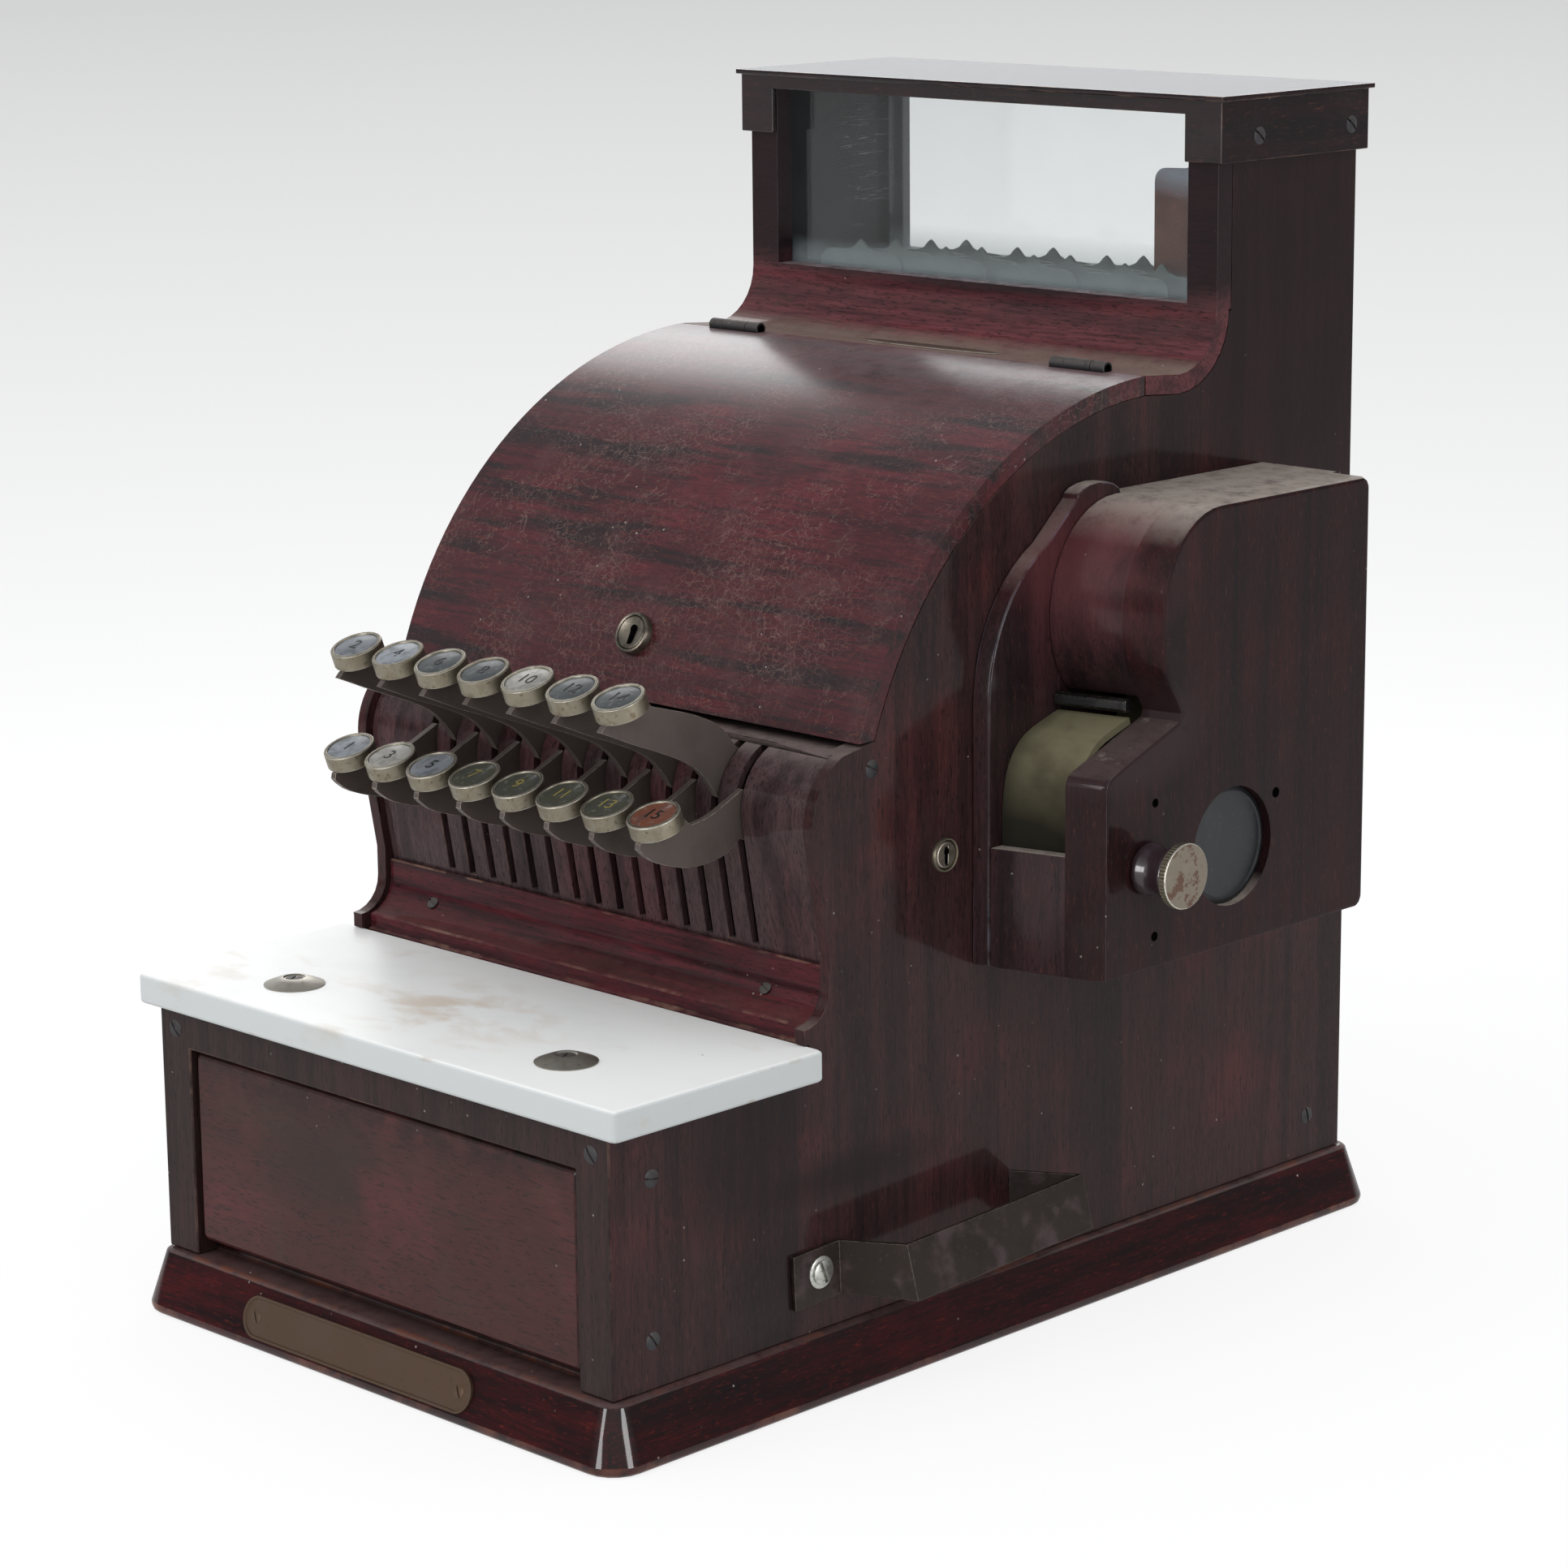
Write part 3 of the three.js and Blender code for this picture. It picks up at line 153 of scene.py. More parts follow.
def dressNode(node, finishes, edgeKind, pick=None, fit=None, wide=None):
    # a copy of the solid with its edges rounded by use; fit may move the copy's vertices first and keeps
    # edges sharp, wide is a broader kind of edge and the test for it, and pick gives each face its finish
    source = frame["nodes"][node]
    bm = bmesh.new()
    bm.from_mesh(source.data)
    bmesh.ops.remove_doubles(bm, verts=bm.verts, dist=mergeWithin)
    flatWithin, sharpFrom = math.radians(dressing["flatWithin"]), math.radians(dressing["sharpFrom"])
    bmesh.ops.dissolve_limit(bm, angle_limit=flatWithin, verts=bm.verts, edges=bm.edges)
    closed = fit(bm) if fit else []
    bm.faces.layers.float.new("roundedEdge")
    sharp = [
        e for e in bm.edges
        if len(e.link_faces) == 2 and e.calc_face_angle(0) > sharpFrom and e not in closed
    ]
    soften = wornEdges[edgeKind]
    passes = [(soften, sharp, dressing["softSteps" if soften > dressing["softFrom"] else "fineSteps"])]
    if wide:
        broadKind, isBroad = wide
        broad = [e for e in sharp if isBroad(e)]
        passes = [
            (wornEdges[broadKind], broad, dressing["broadSteps"]),
            (soften, [e for e in sharp if e not in broad], dressing["fineSteps"]),
        ]
    for radius, edges, steps in passes:
        edges = [e for e in edges if e.is_valid]
        if radius and edges:
            roundEdges(bm, edges, radius, steps)
    if pick:
        bm.normal_update()
        for face in bm.faces:
            face.material_index = pick(face.calc_center_median(), face.normal)
    piece = finishPiece(node + "_dressed", bm, finishes, source["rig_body"], dressing["smoothUnder"])
    piece.modifiers.new("evenShading", "WEIGHTED_NORMAL").keep_sharp = True
    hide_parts(node)


def turnedShape(profile, steps=32):
    # profile is (radius, height) in mm from axis to axis, turned about local Z
    bm = bmesh.new()
    points = [bm.verts.new((radius / 1000, 0, height / 1000)) for radius, height in profile]
    edges = [bm.edges.new(pair) for pair in zip(points, points[1:])]
    bmesh.ops.spin(
        bm, geom=points + edges, cent=(0, 0, 0), axis=(0, 0, 1), angle=math.tau, steps=steps, use_merge=True,
    )
    bmesh.ops.remove_doubles(bm, verts=bm.verts, dist=tipWithin)
    bmesh.ops.recalc_face_normals(bm, faces=bm.faces)
    return bm


# camera

cameraPlace = {
    "location": (1.1320215, -1.13242184, 0.54978015),
    "turn": (77.0508803, 0.55298008, 44.64809473),  # degrees
    "lens": 102.2215,
    "sensor": 36,
}
cameraData = bpy.data.cameras.new("photoCamera")
cameraData.lens = cameraPlace["lens"]
cameraData.sensor_width = cameraData.sensor_height = cameraPlace["sensor"]
photoCamera = makeObject("photoCamera", cameraData)
photoCamera.location = cameraPlace["location"]
photoCamera.rotation_euler = [math.radians(a) for a in cameraPlace["turn"]]
bpy.context.scene.camera = photoCamera

# finishes


def layerOf(size, cut, amount, colour, **more):
    # a layer of a finish: the size of its noise in mm, the noise's levels between which it sets in, how
    # much it covers, and its colour; more is what makeFinish reads besides
    sizes = size if isinstance(size, tuple) else (size,) * 3
    return {"size": sizes, "cut": cut, "amount": amount, "colour": colour, **more}


def stainAt(centre, reach, amount, colour, **more):
    # an even layer that is kept to one place, used for real stains and for painted shade and reflection
    return layerOf(60, (0, 0.1), amount, colour, near=(centre, reach), **more)


def makeFinish(name, look, layers):
    # a base colour and roughness under the layers; each layer is a noise laid over what is below
    material = bpy.data.materials.new(name)
    tree = emptyTree(material)
    place = addNode(tree, "TexCoord").outputs["Object"]
    facing = addNode(tree, "SeparateXYZ", {"Vector": addNode(tree, "NewGeometry").outputs["Normal"]})
    roundedEdgeMask = addNode(tree, "Attribute", {"attribute_name": "roundedEdge"}).outputs["Fac"]
    colour, rough, height = hexColour(look["base"]), look["rough"], None
    for layer in layers:
        spread = addNode(tree, "Mapping", {
            "Vector": place, "Location": layer.get("shift", (0, 0, 0)), "Scale": [1000 / s for s in layer["size"]],
        })
        if "cracks" in layer:  # borders of bent cells; the value is how far they bend
            bend = addNode(tree, "TexNoise", {"Scale": 0.8, "Detail": 3, "Vector": spread}).outputs["Color"]
            spread = addNode(tree, "VectorMath", {
                "operation": "MULTIPLY_ADD", 0: bend, 1: [layer["cracks"]] * 3, 2: spread,
            })
            pattern, settings = "TexVoronoi", {"feature": "DISTANCE_TO_EDGE"}
        elif layer.get("dots"):
            pattern, settings = "TexVoronoi", {"Randomness": 1}
        else:
            pattern, settings = "TexNoise", {
                "Detail": layer.get("detail", 3), "Roughness": layer.get("broken", 0.55),
                "Distortion": layer.get("wander", 0),
            }
        level = addNode(tree, pattern, {**settings, "Scale": 1, "Vector": spread})
        if layer.get("line"):  # a thin line where the noise crosses its middle
            level = addNode(tree, "Math", {"operation": "SUBTRACT", 0: level, 1: 0.5})
            level = addNode(tree, "Math", {"operation": "ABSOLUTE", 0: level})
        low, high = layer["cut"]
        mask = addNode(tree, "MapRange", {
            "interpolation_type": "SMOOTHSTEP", "Value": level, "From Min": low, "From Max": high,
            "To Max": layer["amount"],
        })
        limits = []
        if "patch" in layer:  # kept to scattered places: their size in mm and the levels between which they fade
            size, begin, full = layer["patch"]
            places = addNode(tree, "TexNoise", {"Scale": 1000 / size, "Detail": 4, "Vector": place})
            limits.append((places, begin, full))
        if "upward" in layer:  # dust lies where the surface looks up
            limits.append((facing.outputs["Z"], *layer["upward"]))
        if "near" in layer:  # kept to one place: its centre and reach in mm, full in its core
            centre, reach = layer["near"]
            away = addNode(tree, "VectorMath", {"operation": "SUBTRACT", 0: place, 1: cabinetPoint(*centre)})
            away = addNode(tree, "VectorMath", {"operation": "MULTIPLY", 0: away, 1: [1000 / r for r in reach]})
            away = addNode(tree, "VectorMath", {"operation": "LENGTH", 0: away})
            limits.append((away.outputs["Value"], 1, layer.get("core", 0.4)))
        for value, begin, full in limits:
            share = addNode(tree, "MapRange", {"Value": value, "From Min": begin, "From Max": full})
            mask = addNode(tree, "Math", {"operation": "MULTIPLY", 0: mask, 1: share})
        if layer.get("edge"):  # kept to the rounded edges
            mask = addNode(tree, "Math", {"operation": "MULTIPLY", 0: mask, 1: roundedEdgeMask})
        colour = addNode(tree, "Mix", {
            "data_type": "RGBA", 0: mask, 6: colour, 7: hexColour(layer["colour"]),
        }).outputs[2]
        if "rough" in layer:
            rough = addNode(tree, "Mix", {0: mask, 2: rough, 3: layer["rough"]})
        if "bump" in layer:  # mm that the layer stands proud
            rise = addNode(tree, "Math", {"operation": "MULTIPLY", 0: mask, 1: layer["bump"] / 1000})
            height = addNode(tree, "Math", {0: height, 1: rise}) if height else rise
    shader = addNode(tree, "BsdfPrincipled", {
        "Base Color": hexColour(look["base"]), "Roughness": look["rough"], "Metallic": look.get("metallic", 0),
        "Specular IOR Level": look.get("shine", 0.5), "Coat Weight": look.get("coat", 0),
        "Coat Roughness": look.get("coatRough", 0.2),
    })
    setNode(tree, shader, {"Base Color": colour, "Roughness": rough})
    if height:
        setNode(tree, shader, {"Normal": addNode(tree, "Bump", {"Strength": 1, "Distance": 1, "Height": height})})
    addNode(tree, "OutputMaterial", {"Surface": shader})
    return material


def alongGrain(grain, length, width):
    # a noise size drawn out along the grain's axis
    return tuple(length if axis == grain else width for axis in "XYZ")


def grainedWood(name, grain, look, marks=()):
    # mahogany, stained and graining-brushed, under old spirit varnish: broad near-black bands and fine
    # fibres that run with the grain, a soft gloss, rubbed edges and dust where it lies flat; on some looks
    # the edge colour is painted shade or highlight, and the dust partly a painted sheen
    bandAmount, band = look["band"]
    layers = [
        layerOf(55, (0.46, 0.68), *look["glow"], detail=3, shift=(5, 1, 2)),
        layerOf(alongGrain(grain, look["bandLength"], look["bandWidth"]), look["bandCut"], bandAmount, band,
                detail=4, wander=0.25),
        layerOf(alongGrain(grain, look["bandLength"] * 0.4, look["bandWidth"] * 0.3), (0.5, 0.66),
                bandAmount * 0.6, band, detail=3, shift=(3, 7, 1), wander=0.2),
        layerOf(alongGrain(grain, 14, 1.1), (0.42, 0.68), look["fibreAmount"], look["pore"], detail=4, broken=0.65,
                shift=(1, 5, 8)),
        layerOf(alongGrain(grain, 5, 0.9), (0.55, 0.75), *look["fleck"], detail=3, broken=0.7, shift=(9, 2, 4)),
        layerOf(alongGrain(grain, 4, 0.7), (0.6, 0.68), 0.6, look["pore"], detail=1, shift=(4, 6, 3), bump=-0.04),
        layerOf(24, (0.48, 0.72), *look["bloom"], detail=6, broken=0.65, shift=(2, 2, 6)),
        layerOf(9, (0.1, 0.6), *look["dust"], upward=look["dustTilt"], rough=0.75, detail=7, broken=0.75),
        layerOf(7, (0.075, 0.045), look["speckAmount"], "c4bcb2", dots=True, patch=(30, 0.52, 0.6)),
        layerOf(9, (0.4, 0.6), *look["rubbedEdgeAndPaintedLight"], detail=5, edge=True, patch=(look["wornPatch"], 0.44, 0.6), rough=0.6),
    ]
    return makeFinish(name, look, [*layers, *marks])


# the cabinet's wood; a pair is how much a layer covers and its colour, lengths and widths are mm along and
# across the grain, and patches mm
woodLook = {
    "base": "412829", "glow": (0.6, "642f2f"), "band": (0.7, "1b1618"), "bandLength": 420, "bandWidth": 19,
    "bandCut": (0.44, 0.64), "pore": "160f0f", "fibreAmount": 0.4, "fleck": (0.4, "6e4236"),
    "bloom": (0.25, "3d3231"), "dust": (0.5, "8d827c"), "dustTilt": (0.75, 1), "speckAmount": 0.45,
    "rubbedEdgeAndPaintedLight": (0.5, "86685a"), "wornPatch": 45, "rough": 0.55, "shine": 0.05, "coat": 0.24, "coatRough": 0.1,
}
sideWood = grainedWood("mahoganySide", "Z", woodLook, [
    stainAt((-110, 343, 392), (6, 62, 62), 0.95, "0c1013", core=0.9, rough=0.5),
    # painted reflection: the upper rear of the right side darkened where the glossy panel mirrors dark things
    stainAt((118, 350, 356), (12, 90, 130), 0.8, "1a070b", core=0.4),
    # painted shade and reflection: darker low at the front of the right side, below the printer
    stainAt((118, 62, 96), (12, 40, 36), 0.6, "180e10", core=0.3),
    # painted reflection of the strap: a dark band above it on the right side
    stainAt((118, 112, 77), (12, 52, 11), 0.75, "170709", core=0.3),
    stainAt((-101, 380, 392), (8, 20, 62), 0.95, "0c1013", core=0.8),
    layerOf((90, 30, 30), (0.45, 0.7), 0.2, "5d6970", core=0.3, near=((-110, 366, 400), (8, 34, 50))),
    layerOf((60, 50, 3), (0.008, 0.002), 0.5, "8c9498", line=True, wander=0.2,
            near=((-110, 364, 396), (6, 24, 36))),
])
plinthLook = {
    **woodLook, "base": "370d0f", "glow": (0.4, "5c181b"), "band": (0.8, "0f0709"), "bandLength": 120, "bandWidth": 9,
    "fleck": (0.5, "7c2a20"), "fibreAmount": 0.6, "bloom": (0, "3d3231"), "rubbedEdgeAndPaintedLight": (0.95, "6c3f31"), "wornPatch": 34,
    "coat": 0.6, "coatRough": 0.09, "speckAmount": 0.9, "dust": (0.85, "5d4a48"), "dustTilt": (0.4, 0.85),
}
plinthWood = grainedWood("mahoganyPlinthFront", "X", plinthLook)
plinthSideWood = grainedWood("mahoganyPlinthSide", "Y", plinthLook)
lidWood = grainedWood("mahoganyLid", "X", {
    **woodLook, "base": "4c1b22", "glow": (0.6, "66222c"), "band": (0.9, "1b1519"), "bandLength": 110,
    "bandWidth": 11, "bandCut": (0.5, 0.62), "fleck": (0.4, "84432c"), "pore": "2a1216", "fibreAmount": 0.5,
    "bloom": (0.5, "573839"), "speckAmount": 0.6, "rubbedEdgeAndPaintedLight": (0.5, "6e574c"), "coat": 0.48, "coatRough": 0.26,
    # the dust on the lid's upturned top is partly real dust and partly a painted sheen, standing for the pale
    # highlight near the hinges
    "dust": (0.55, "83777a"), "dustTilt": (0.92, 1),
}, [
    layerOf(3.4, (0.05, 0.015), 0.32, "8d6f66", cracks=1.6, patch=(40, 0.42, 0.6), bump=-0.02),
    layerOf(9, (0.012, 0.004), 0.3, "927a6e", line=True, detail=4, wander=1.2, shift=(4, 4, 4),
            patch=(50, 0.5, 0.6)),
])
neckWood = grainedWood("mahoganyNeck", "X", {
    **woodLook, "base": "6c3b40", "glow": (0.6, "7c3d44"), "band": (0.5, "2a1a1d"), "bandWidth": 9, "bandLength": 130,
    "fleck": (0.45, "7a3b2c"), "bloom": (0.4, "4d3a36"), "dust": (0.85, "86766d"), "dustTilt": (0.8, 0.99),
    "fibreAmount": 0.5,
}, [
    stainAt((0, 310, 398), (260, 40, 50), 0.92, "1d1317", core=0.8),
    layerOf(6, (0.3, 0.6), 0.7, "8a7d82", upward=(0.5, 0.9), core=0.4, near=((0, 309, 357), (220, 14, 8)),
            rough=0.8),
])
drawerWood = grainedWood("mahoganyDrawer", "X", {
    **woodLook, "base": "4b2624", "glow": (0.75, "663033"), "band": (0.4, "372620"), "bandLength": 90,
    "bandWidth": 22, "fleck": (0.2, "6f3c30"), "fibreAmount": 0.25, "bloom": (0.3, "4c3c30"), "coat": 0.35,
    # painted shade: the near-black edge colour darkens the rounded edges all round, standing for the shade in the gap
    # about the drawer
    "coatRough": 0.2, "rubbedEdgeAndPaintedLight": (0.85, "120d0c"), "wornPatch": 200,
}, [
    layerOf(45, (0.25, 0.6), 0.75, "30251f", detail=5, near=((-18, 0, 72), (78, 20, 26)), core=0.2),
    # painted shadow: a dark band along the top of the drawer front, under the rail
    layerOf(12, (0.3, 0.6), 0.6, "19110f", detail=4, near=((0, 0, 101), (220, 20, 16)), core=0.4),
])
frameLook = {
    **woodLook, "base": "3b2b29", "glow": (0.6, "452c2a"), "band": (0.5, "241b1b"), "bandWidth": 6,
    "fleck": (0.12, "6e4236"), "fibreAmount": 0.3, "speckAmount": 0.5,
}
postWood = grainedWood("mahoganyPost", "Z", frameLook)
railWood = grainedWood("mahoganyRail", "X", frameLook)
breastWood = grainedWood("mahoganyBreast", "Z", {
    **woodLook, "base": "523f41", "glow": (0.6, "633a3f"), "band": (0.6, "201618"), "fleck": (0.25, "6e4236"),
    "bandWidth": 12,
})
coveWood = grainedWood("mahoganyCove", "X", {
    **woodLook, "base": "582128", "glow": (0.6, "6a2731"), "band": (0.7, "1d1114"), "bandLength": 120, "bandWidth": 6,
    "fleck": (0.4, "6a2028"), "bloom": (0.3, "3d3231"), "dust": (0.4, "74524f"), "dustTilt": (0.45, 0.95),
    "rubbedEdgeAndPaintedLight": (0.7, "86685a"),
})
printerLook = {
    **woodLook, "base": "2f1719", "glow": (0.6, "401b1c"), "band": (0.7, "131013"), "bandWidth": 15,
    # the printer's pale blue-grey edge colour is rubbed varnish and also a painted highlight on the rounded arrises
    "bloom": (0.15, "3d3231"), "dust": (1, "9f958c"), "dustTilt": (0.6, 0.97), "rubbedEdgeAndPaintedLight": (0.75, "646069"),
    "wornPatch": 120, "coat": 0.2,
}
printerMarks = [
    layerOf(8, (0.2, 0.4), 0.85, "38282a", core=0.6, near=((158, 203, 221), (40, 44, 22))),
    # painted highlight: a pale blue-grey line on the rounded front arris of the housing
    layerOf(6, (0.25, 0.6), 0.75, "6e7078", edge=True, core=0.6, near=((168, 188.5, 180), (8, 12, 52)), rough=0.4),
    layerOf(4, (0.3, 0.55), 0.8, "6f696b", edge=True, core=0.6, near=((168, 260, 138), (8, 100, 14)), rough=0.7),
    layerOf(30, (0.2, 0.5), 0.55, "6e3c3f", core=0.3, near=((140, 212, 280), (40, 40, 34))),
]
printerWood = grainedWood("mahoganyPrinter", "Z", printerLook, printerMarks)
shellLook = {
    **printerLook, "base": "40292c", "glow": (0.6, "522c2f"), "coat": 0.36,
}
shellWood = grainedWood("mahoganyShell", "Z", shellLook, printerMarks)
capLook = {
    **woodLook, "base": "241216", "glow": (0.6, "32151d"), "band": (0.7, "100c10"), "bandWidth": 7, "bandLength": 120,
    "dust": (0.55, "a8adb4"), "dustTilt": (0.9, 1), "coat": 0.7, "coatRough": 0.06,
}
capWood = grainedWood("mahoganyCap", "X", capLook)
capSideWood = grainedWood("mahoganyCapSide", "Y", {
    **capLook, "coat": 0.25,
})

# the knob's boss: ebonised turned beech, plum-black with a wet gloss
knobWood = makeFinish("ebonisedBoss", {"base": "35282d", "rough": 0.4, "shine": 0.3, "coat": 0.8, "coatRough": 0.12}, [
    layerOf((9, 4, 4), (0.45, 0.7), 0.6, "35202a"),
    layerOf(2, (0.58, 0.7), 0.4, "4a3c3c", rough=0.6),
])

# painted shade for the inside of a screw hole or a keyhole: near black, with a trace of dust, laid on discs and prisms
# at the hole
holeShade = makeFinish("paintedHoleShade", {"base": "060506", "rough": 0.95, "shine": 0}, [
    layerOf(0.8, (0.5, 0.75), 0.5, "171313"),
])

# bare beech of drawer and deck: pale, straight-grained, dry and matte
innerWood = makeFinish("bareBeech", {"base": "8a6b4c", "rough": 0.75, "shine": 0.3}, [
    layerOf((9, 140, 9), (0.4, 0.65), 0.6, "6d523a"),
    layerOf((1.2, 16, 1.2), (0.55, 0.7), 0.5, "5b4330"),
    layerOf(40, (0.5, 0.75), 0.5, "5f4c3e"),
])

# polished white marble gone beige: cool white, soft gloss, tea-coloured stains and small pits
marbleStone = makeFinish("polishedMarble", {"base": "e2e6e5", "rough": 0.4, "shine": 0.15}, [
    # painted light: the upward-facing top is made whiter than the sides
    layerOf(60, (0, 0.1), 1, "f8f9f7", upward=(0.4, 0.8)),
    layerOf((55, 40, 40), (0.5, 0.8), 0.3, "dfe2e3", detail=5),
    layerOf((26, 16, 16), (0.45, 0.7), 0.6, "cdb394", detail=5, wander=0.4, shift=(2, 3, 5), rough=0.4,
            near=((-4, 42, 126), (70, 42, 12)), core=0.1),
    layerOf((40, 22, 22), (0.58, 0.74), 0.3, "cbb89c", detail=5, shift=(7, 1, 2)),
    layerOf(16, (0.05, 0.03), 0.8, "8f8577", dots=True, patch=(60, 0.5, 0.6)),
    layerOf((14, 8, 8), (0.55, 0.7), 0.5, "b39c82", edge=True, rough=0.6, patch=(40, 0.5, 0.62)),
])

# nickel plate rubbed and tarnished: pale warm metal, yellow-brown where it has gone through
nickelPlate = makeFinish("wornNickel", {"base": "868071", "rough": 0.46, "metallic": 1}, [
    layerOf(5, (0.42, 0.66), 0.7, "776d5d", rough=0.52),
    layerOf(2, (0.56, 0.7), 0.6, "5c4c3c", rough=0.6),
    layerOf(1, (0.2, 0.5), 0.7, "dad7ce", edge=True),
])

# the same plate on the knob's face, flaked off down to brown rust
rustyNickel = makeFinish("rustedNickel", {"base": "7f7668", "rough": 0.45, "metallic": 0.7}, [
    layerOf(3, (0.45, 0.7), 0.5, "8b8072", rough=0.5),
    layerOf((9, 6, 6), (0.52, 0.58), 0.9, "6a4f42", rough=0.8, detail=6, broken=0.7, shift=(2, 5, 3)),
])

# lock barrels of tarnished nickel silver: brown-grey, dull in the dish, rubbed on the rim
lockMetal = makeFinish("tarnishedNickelSilver", {"base": "7d766b", "rough": 0.42, "metallic": 1}, [
    layerOf(3, (0.45, 0.7), 0.6, "453b33", rough=0.5),
    layerOf(1, (0.2, 0.5), 0.7, "b9b2a6", edge=True),
])

# levers of sheet steel with thin, dulled nickel: brownish grey with pale rubbed edges
leverSteel = makeFinish("dulledSteel", {"base": "5f5550", "rough": 0.5, "metallic": 0.3}, [
    layerOf(14, (0.45, 0.7), 0.5, "4a403b", rough=0.6),
    layerOf(1.5, (0.6, 0.72), 0.5, "6b4a38"),
    layerOf(2, (0.3, 0.6), 0.85, "b3a698", edge=True),
])

# blackened steel of hinges, screws, shaft and guide: bluish black, low sheen, browned in places
darkSteel = makeFinish("blackenedSteel", {"base": "343336", "rough": 0.5, "metallic": 0.5}, [
    layerOf(4, (0.45, 0.7), 0.6, "2e2826", rough=0.65),
    layerOf(3, (0.2, 0.5), 0.6, "6f6964", upward=(0, 0.7), rough=0.7),
    layerOf(2, (0.3, 0.6), 0.4, "85827f", edge=True),
    layerOf(4, (0.09, 0.06), 0.7, "a9a49c", dots=True, patch=(12, 0.5, 0.6)),
])

# brown lacquered strap of mild steel
strapSteel = makeFinish("bronzedSteel", {"base": "312823", "rough": 0.42, "metallic": 0.3, "shine": 0.2}, [
    layerOf(18, (0.4, 0.7), 0.6, "241e1c"),
    layerOf(13, (0.5, 0.68), 0.6, "58474a", rough=0.55, detail=5),
    layerOf(1.6, (0.6, 0.7), 0.4, "4f3f36", bump=0.03),
    layerOf(2, (0.3, 0.6), 0.35, "85796e", edge=True),
])

# sheet brass gone brown-grey, a little brighter where fingers and polish reach
oldBrass = makeFinish("agedBrass", {"base": "55402e", "rough": 0.45, "metallic": 0.5}, [
    layerOf(16, (0.42, 0.68), 0.5, "53443a", rough=0.55, detail=4),
    layerOf(1.6, (0.6, 0.72), 0.4, "3a2e28"),
    layerOf(1, (0.2, 0.5), 0.8, "a58d68", edge=True),
])

# nickelled cup washers on the marble, bright in the dish and grey on the slope
washerNickel = makeFinish("cupNickel", {"base": "a39e95", "rough": 0.42, "metallic": 0.85}, [
    layerOf(4, (0.45, 0.7), 0.6, "8c877b", rough=0.35),
    layerOf(1.5, (0.6, 0.72), 0.5, "5c5044"),
])

# bright zinc of the one newer screw, scratched by the driver
brightZinc = makeFinish("brightZinc", {"base": "b4b4ae", "rough": 0.4, "metallic": 0.9}, [
    layerOf(2, (0.45, 0.65), 0.6, "82817b"),
    layerOf(1, (0.6, 0.7), 0.5, "4f4a44"),
])

# stove enamel on tin indicator tablets: khaki grey, chalky with age and grimed
tabletEnamel = makeFinish("khakiEnamel", {"base": "535957", "rough": 0.6, "shine": 0.1}, [
    layerOf(14, (0.45, 0.7), 0.5, "363a38"),
    layerOf(2, (0.6, 0.72), 0.5, "2c2823"),
])
flagEnamel = makeFinish("brownEnamel", {"base": "422215", "rough": 0.5, "shine": 0.1}, [
    layerOf(12, (0.45, 0.7), 0.6, "503527"),
    layerOf(3, (0.58, 0.72), 0.5, "7a3f24"),
    stainAt((85, 350, 410), (60, 60, 22), 0.85, "7b818b", core=0.6, rough=0.7),
])

# old printing paper, buff and handled, with painted shade where it dips into the housing and near its inner end
buffPaper = makeFinish("buffPaper", {"base": "767058", "rough": 0.85, "shine": 0.1}, [
    layerOf(20, (0.45, 0.7), 0.6, "4e4839"),
    layerOf(3, (0.55, 0.75), 0.35, "757058"),
    stainAt((134, 180, 172), (60, 40, 42), 0.9, "14110e", core=0.45),
    stainAt((124, 186, 200), (7, 46, 60), 0.6, "1d1a14", core=0.2),
])

# black stove enamel: near black, wet gloss
blackEnamel = makeFinish("blackEnamel", {"base": "0d0c0c", "rough": 0.25, "shine": 0.35}, [
    layerOf(6, (0.5, 0.7), 0.5, "181716", rough=0.4),
    layerOf(2, (0.4, 0.65), 0.4, "4a443c", edge=True),
])
print("finishes made")

# glass

# drawn sheet glass: clear, a faint green-blue, light falls through it; a film of dust is thickest low down
sheetGlass = {
    "tint": "fcfefe", "rough": 0.02, "ior": 1.33, "shadowTint": "eef4f5", "dust": "a9b2b6",
    "filmSize": 40, "filmFrom": 0.35, "filmTo": 0.7, "film": 0.02,  # mm, the noise's levels, the most it covers
    "thinAbove": 368, "thickBelow": 359, "lowFilm": 0.22,  # mm above the floor, and how far it covers there
}
glass = bpy.data.materials.new("sheetGlass")
tree = emptyTree(glass)
place = addNode(tree, "TexCoord").outputs["Object"]
cloud = addNode(tree, "TexNoise", {"Scale": 1000 / sheetGlass["filmSize"], "Detail": 5, "Vector": place})
film = addNode(tree, "MapRange", {
    "Value": cloud, "From Min": sheetGlass["filmFrom"], "From Max": sheetGlass["filmTo"],
    "To Max": sheetGlass["film"],
})
heightUp = addNode(tree, "SeparateXYZ", {"Vector": place}).outputs["Z"]
lowFilm = addNode(tree, "MapRange", {
    "Value": heightUp, "From Min": sheetGlass["thinAbove"] / 1000, "From Max": sheetGlass["thickBelow"] / 1000,
    "To Max": sheetGlass["lowFilm"],
})
film = addNode(tree, "Math", {"operation": "MAXIMUM", 0: film, 1: lowFilm})
clearGlass = addNode(tree, "BsdfPrincipled", {
    "Base Color": hexColour(sheetGlass["tint"]), "Roughness": sheetGlass["rough"], "IOR": sheetGlass["ior"],
    "Transmission Weight": 1,
})
dustLayer = addNode(tree, "BsdfDiffuse", {"Color": hexColour(sheetGlass["dust"])})
seenGlass = addNode(tree, "MixShader", {0: film, 1: clearGlass, 2: dustLayer})
letThrough = addNode(tree, "BsdfTransparent", {"Color": hexColour(sheetGlass["shadowTint"])})
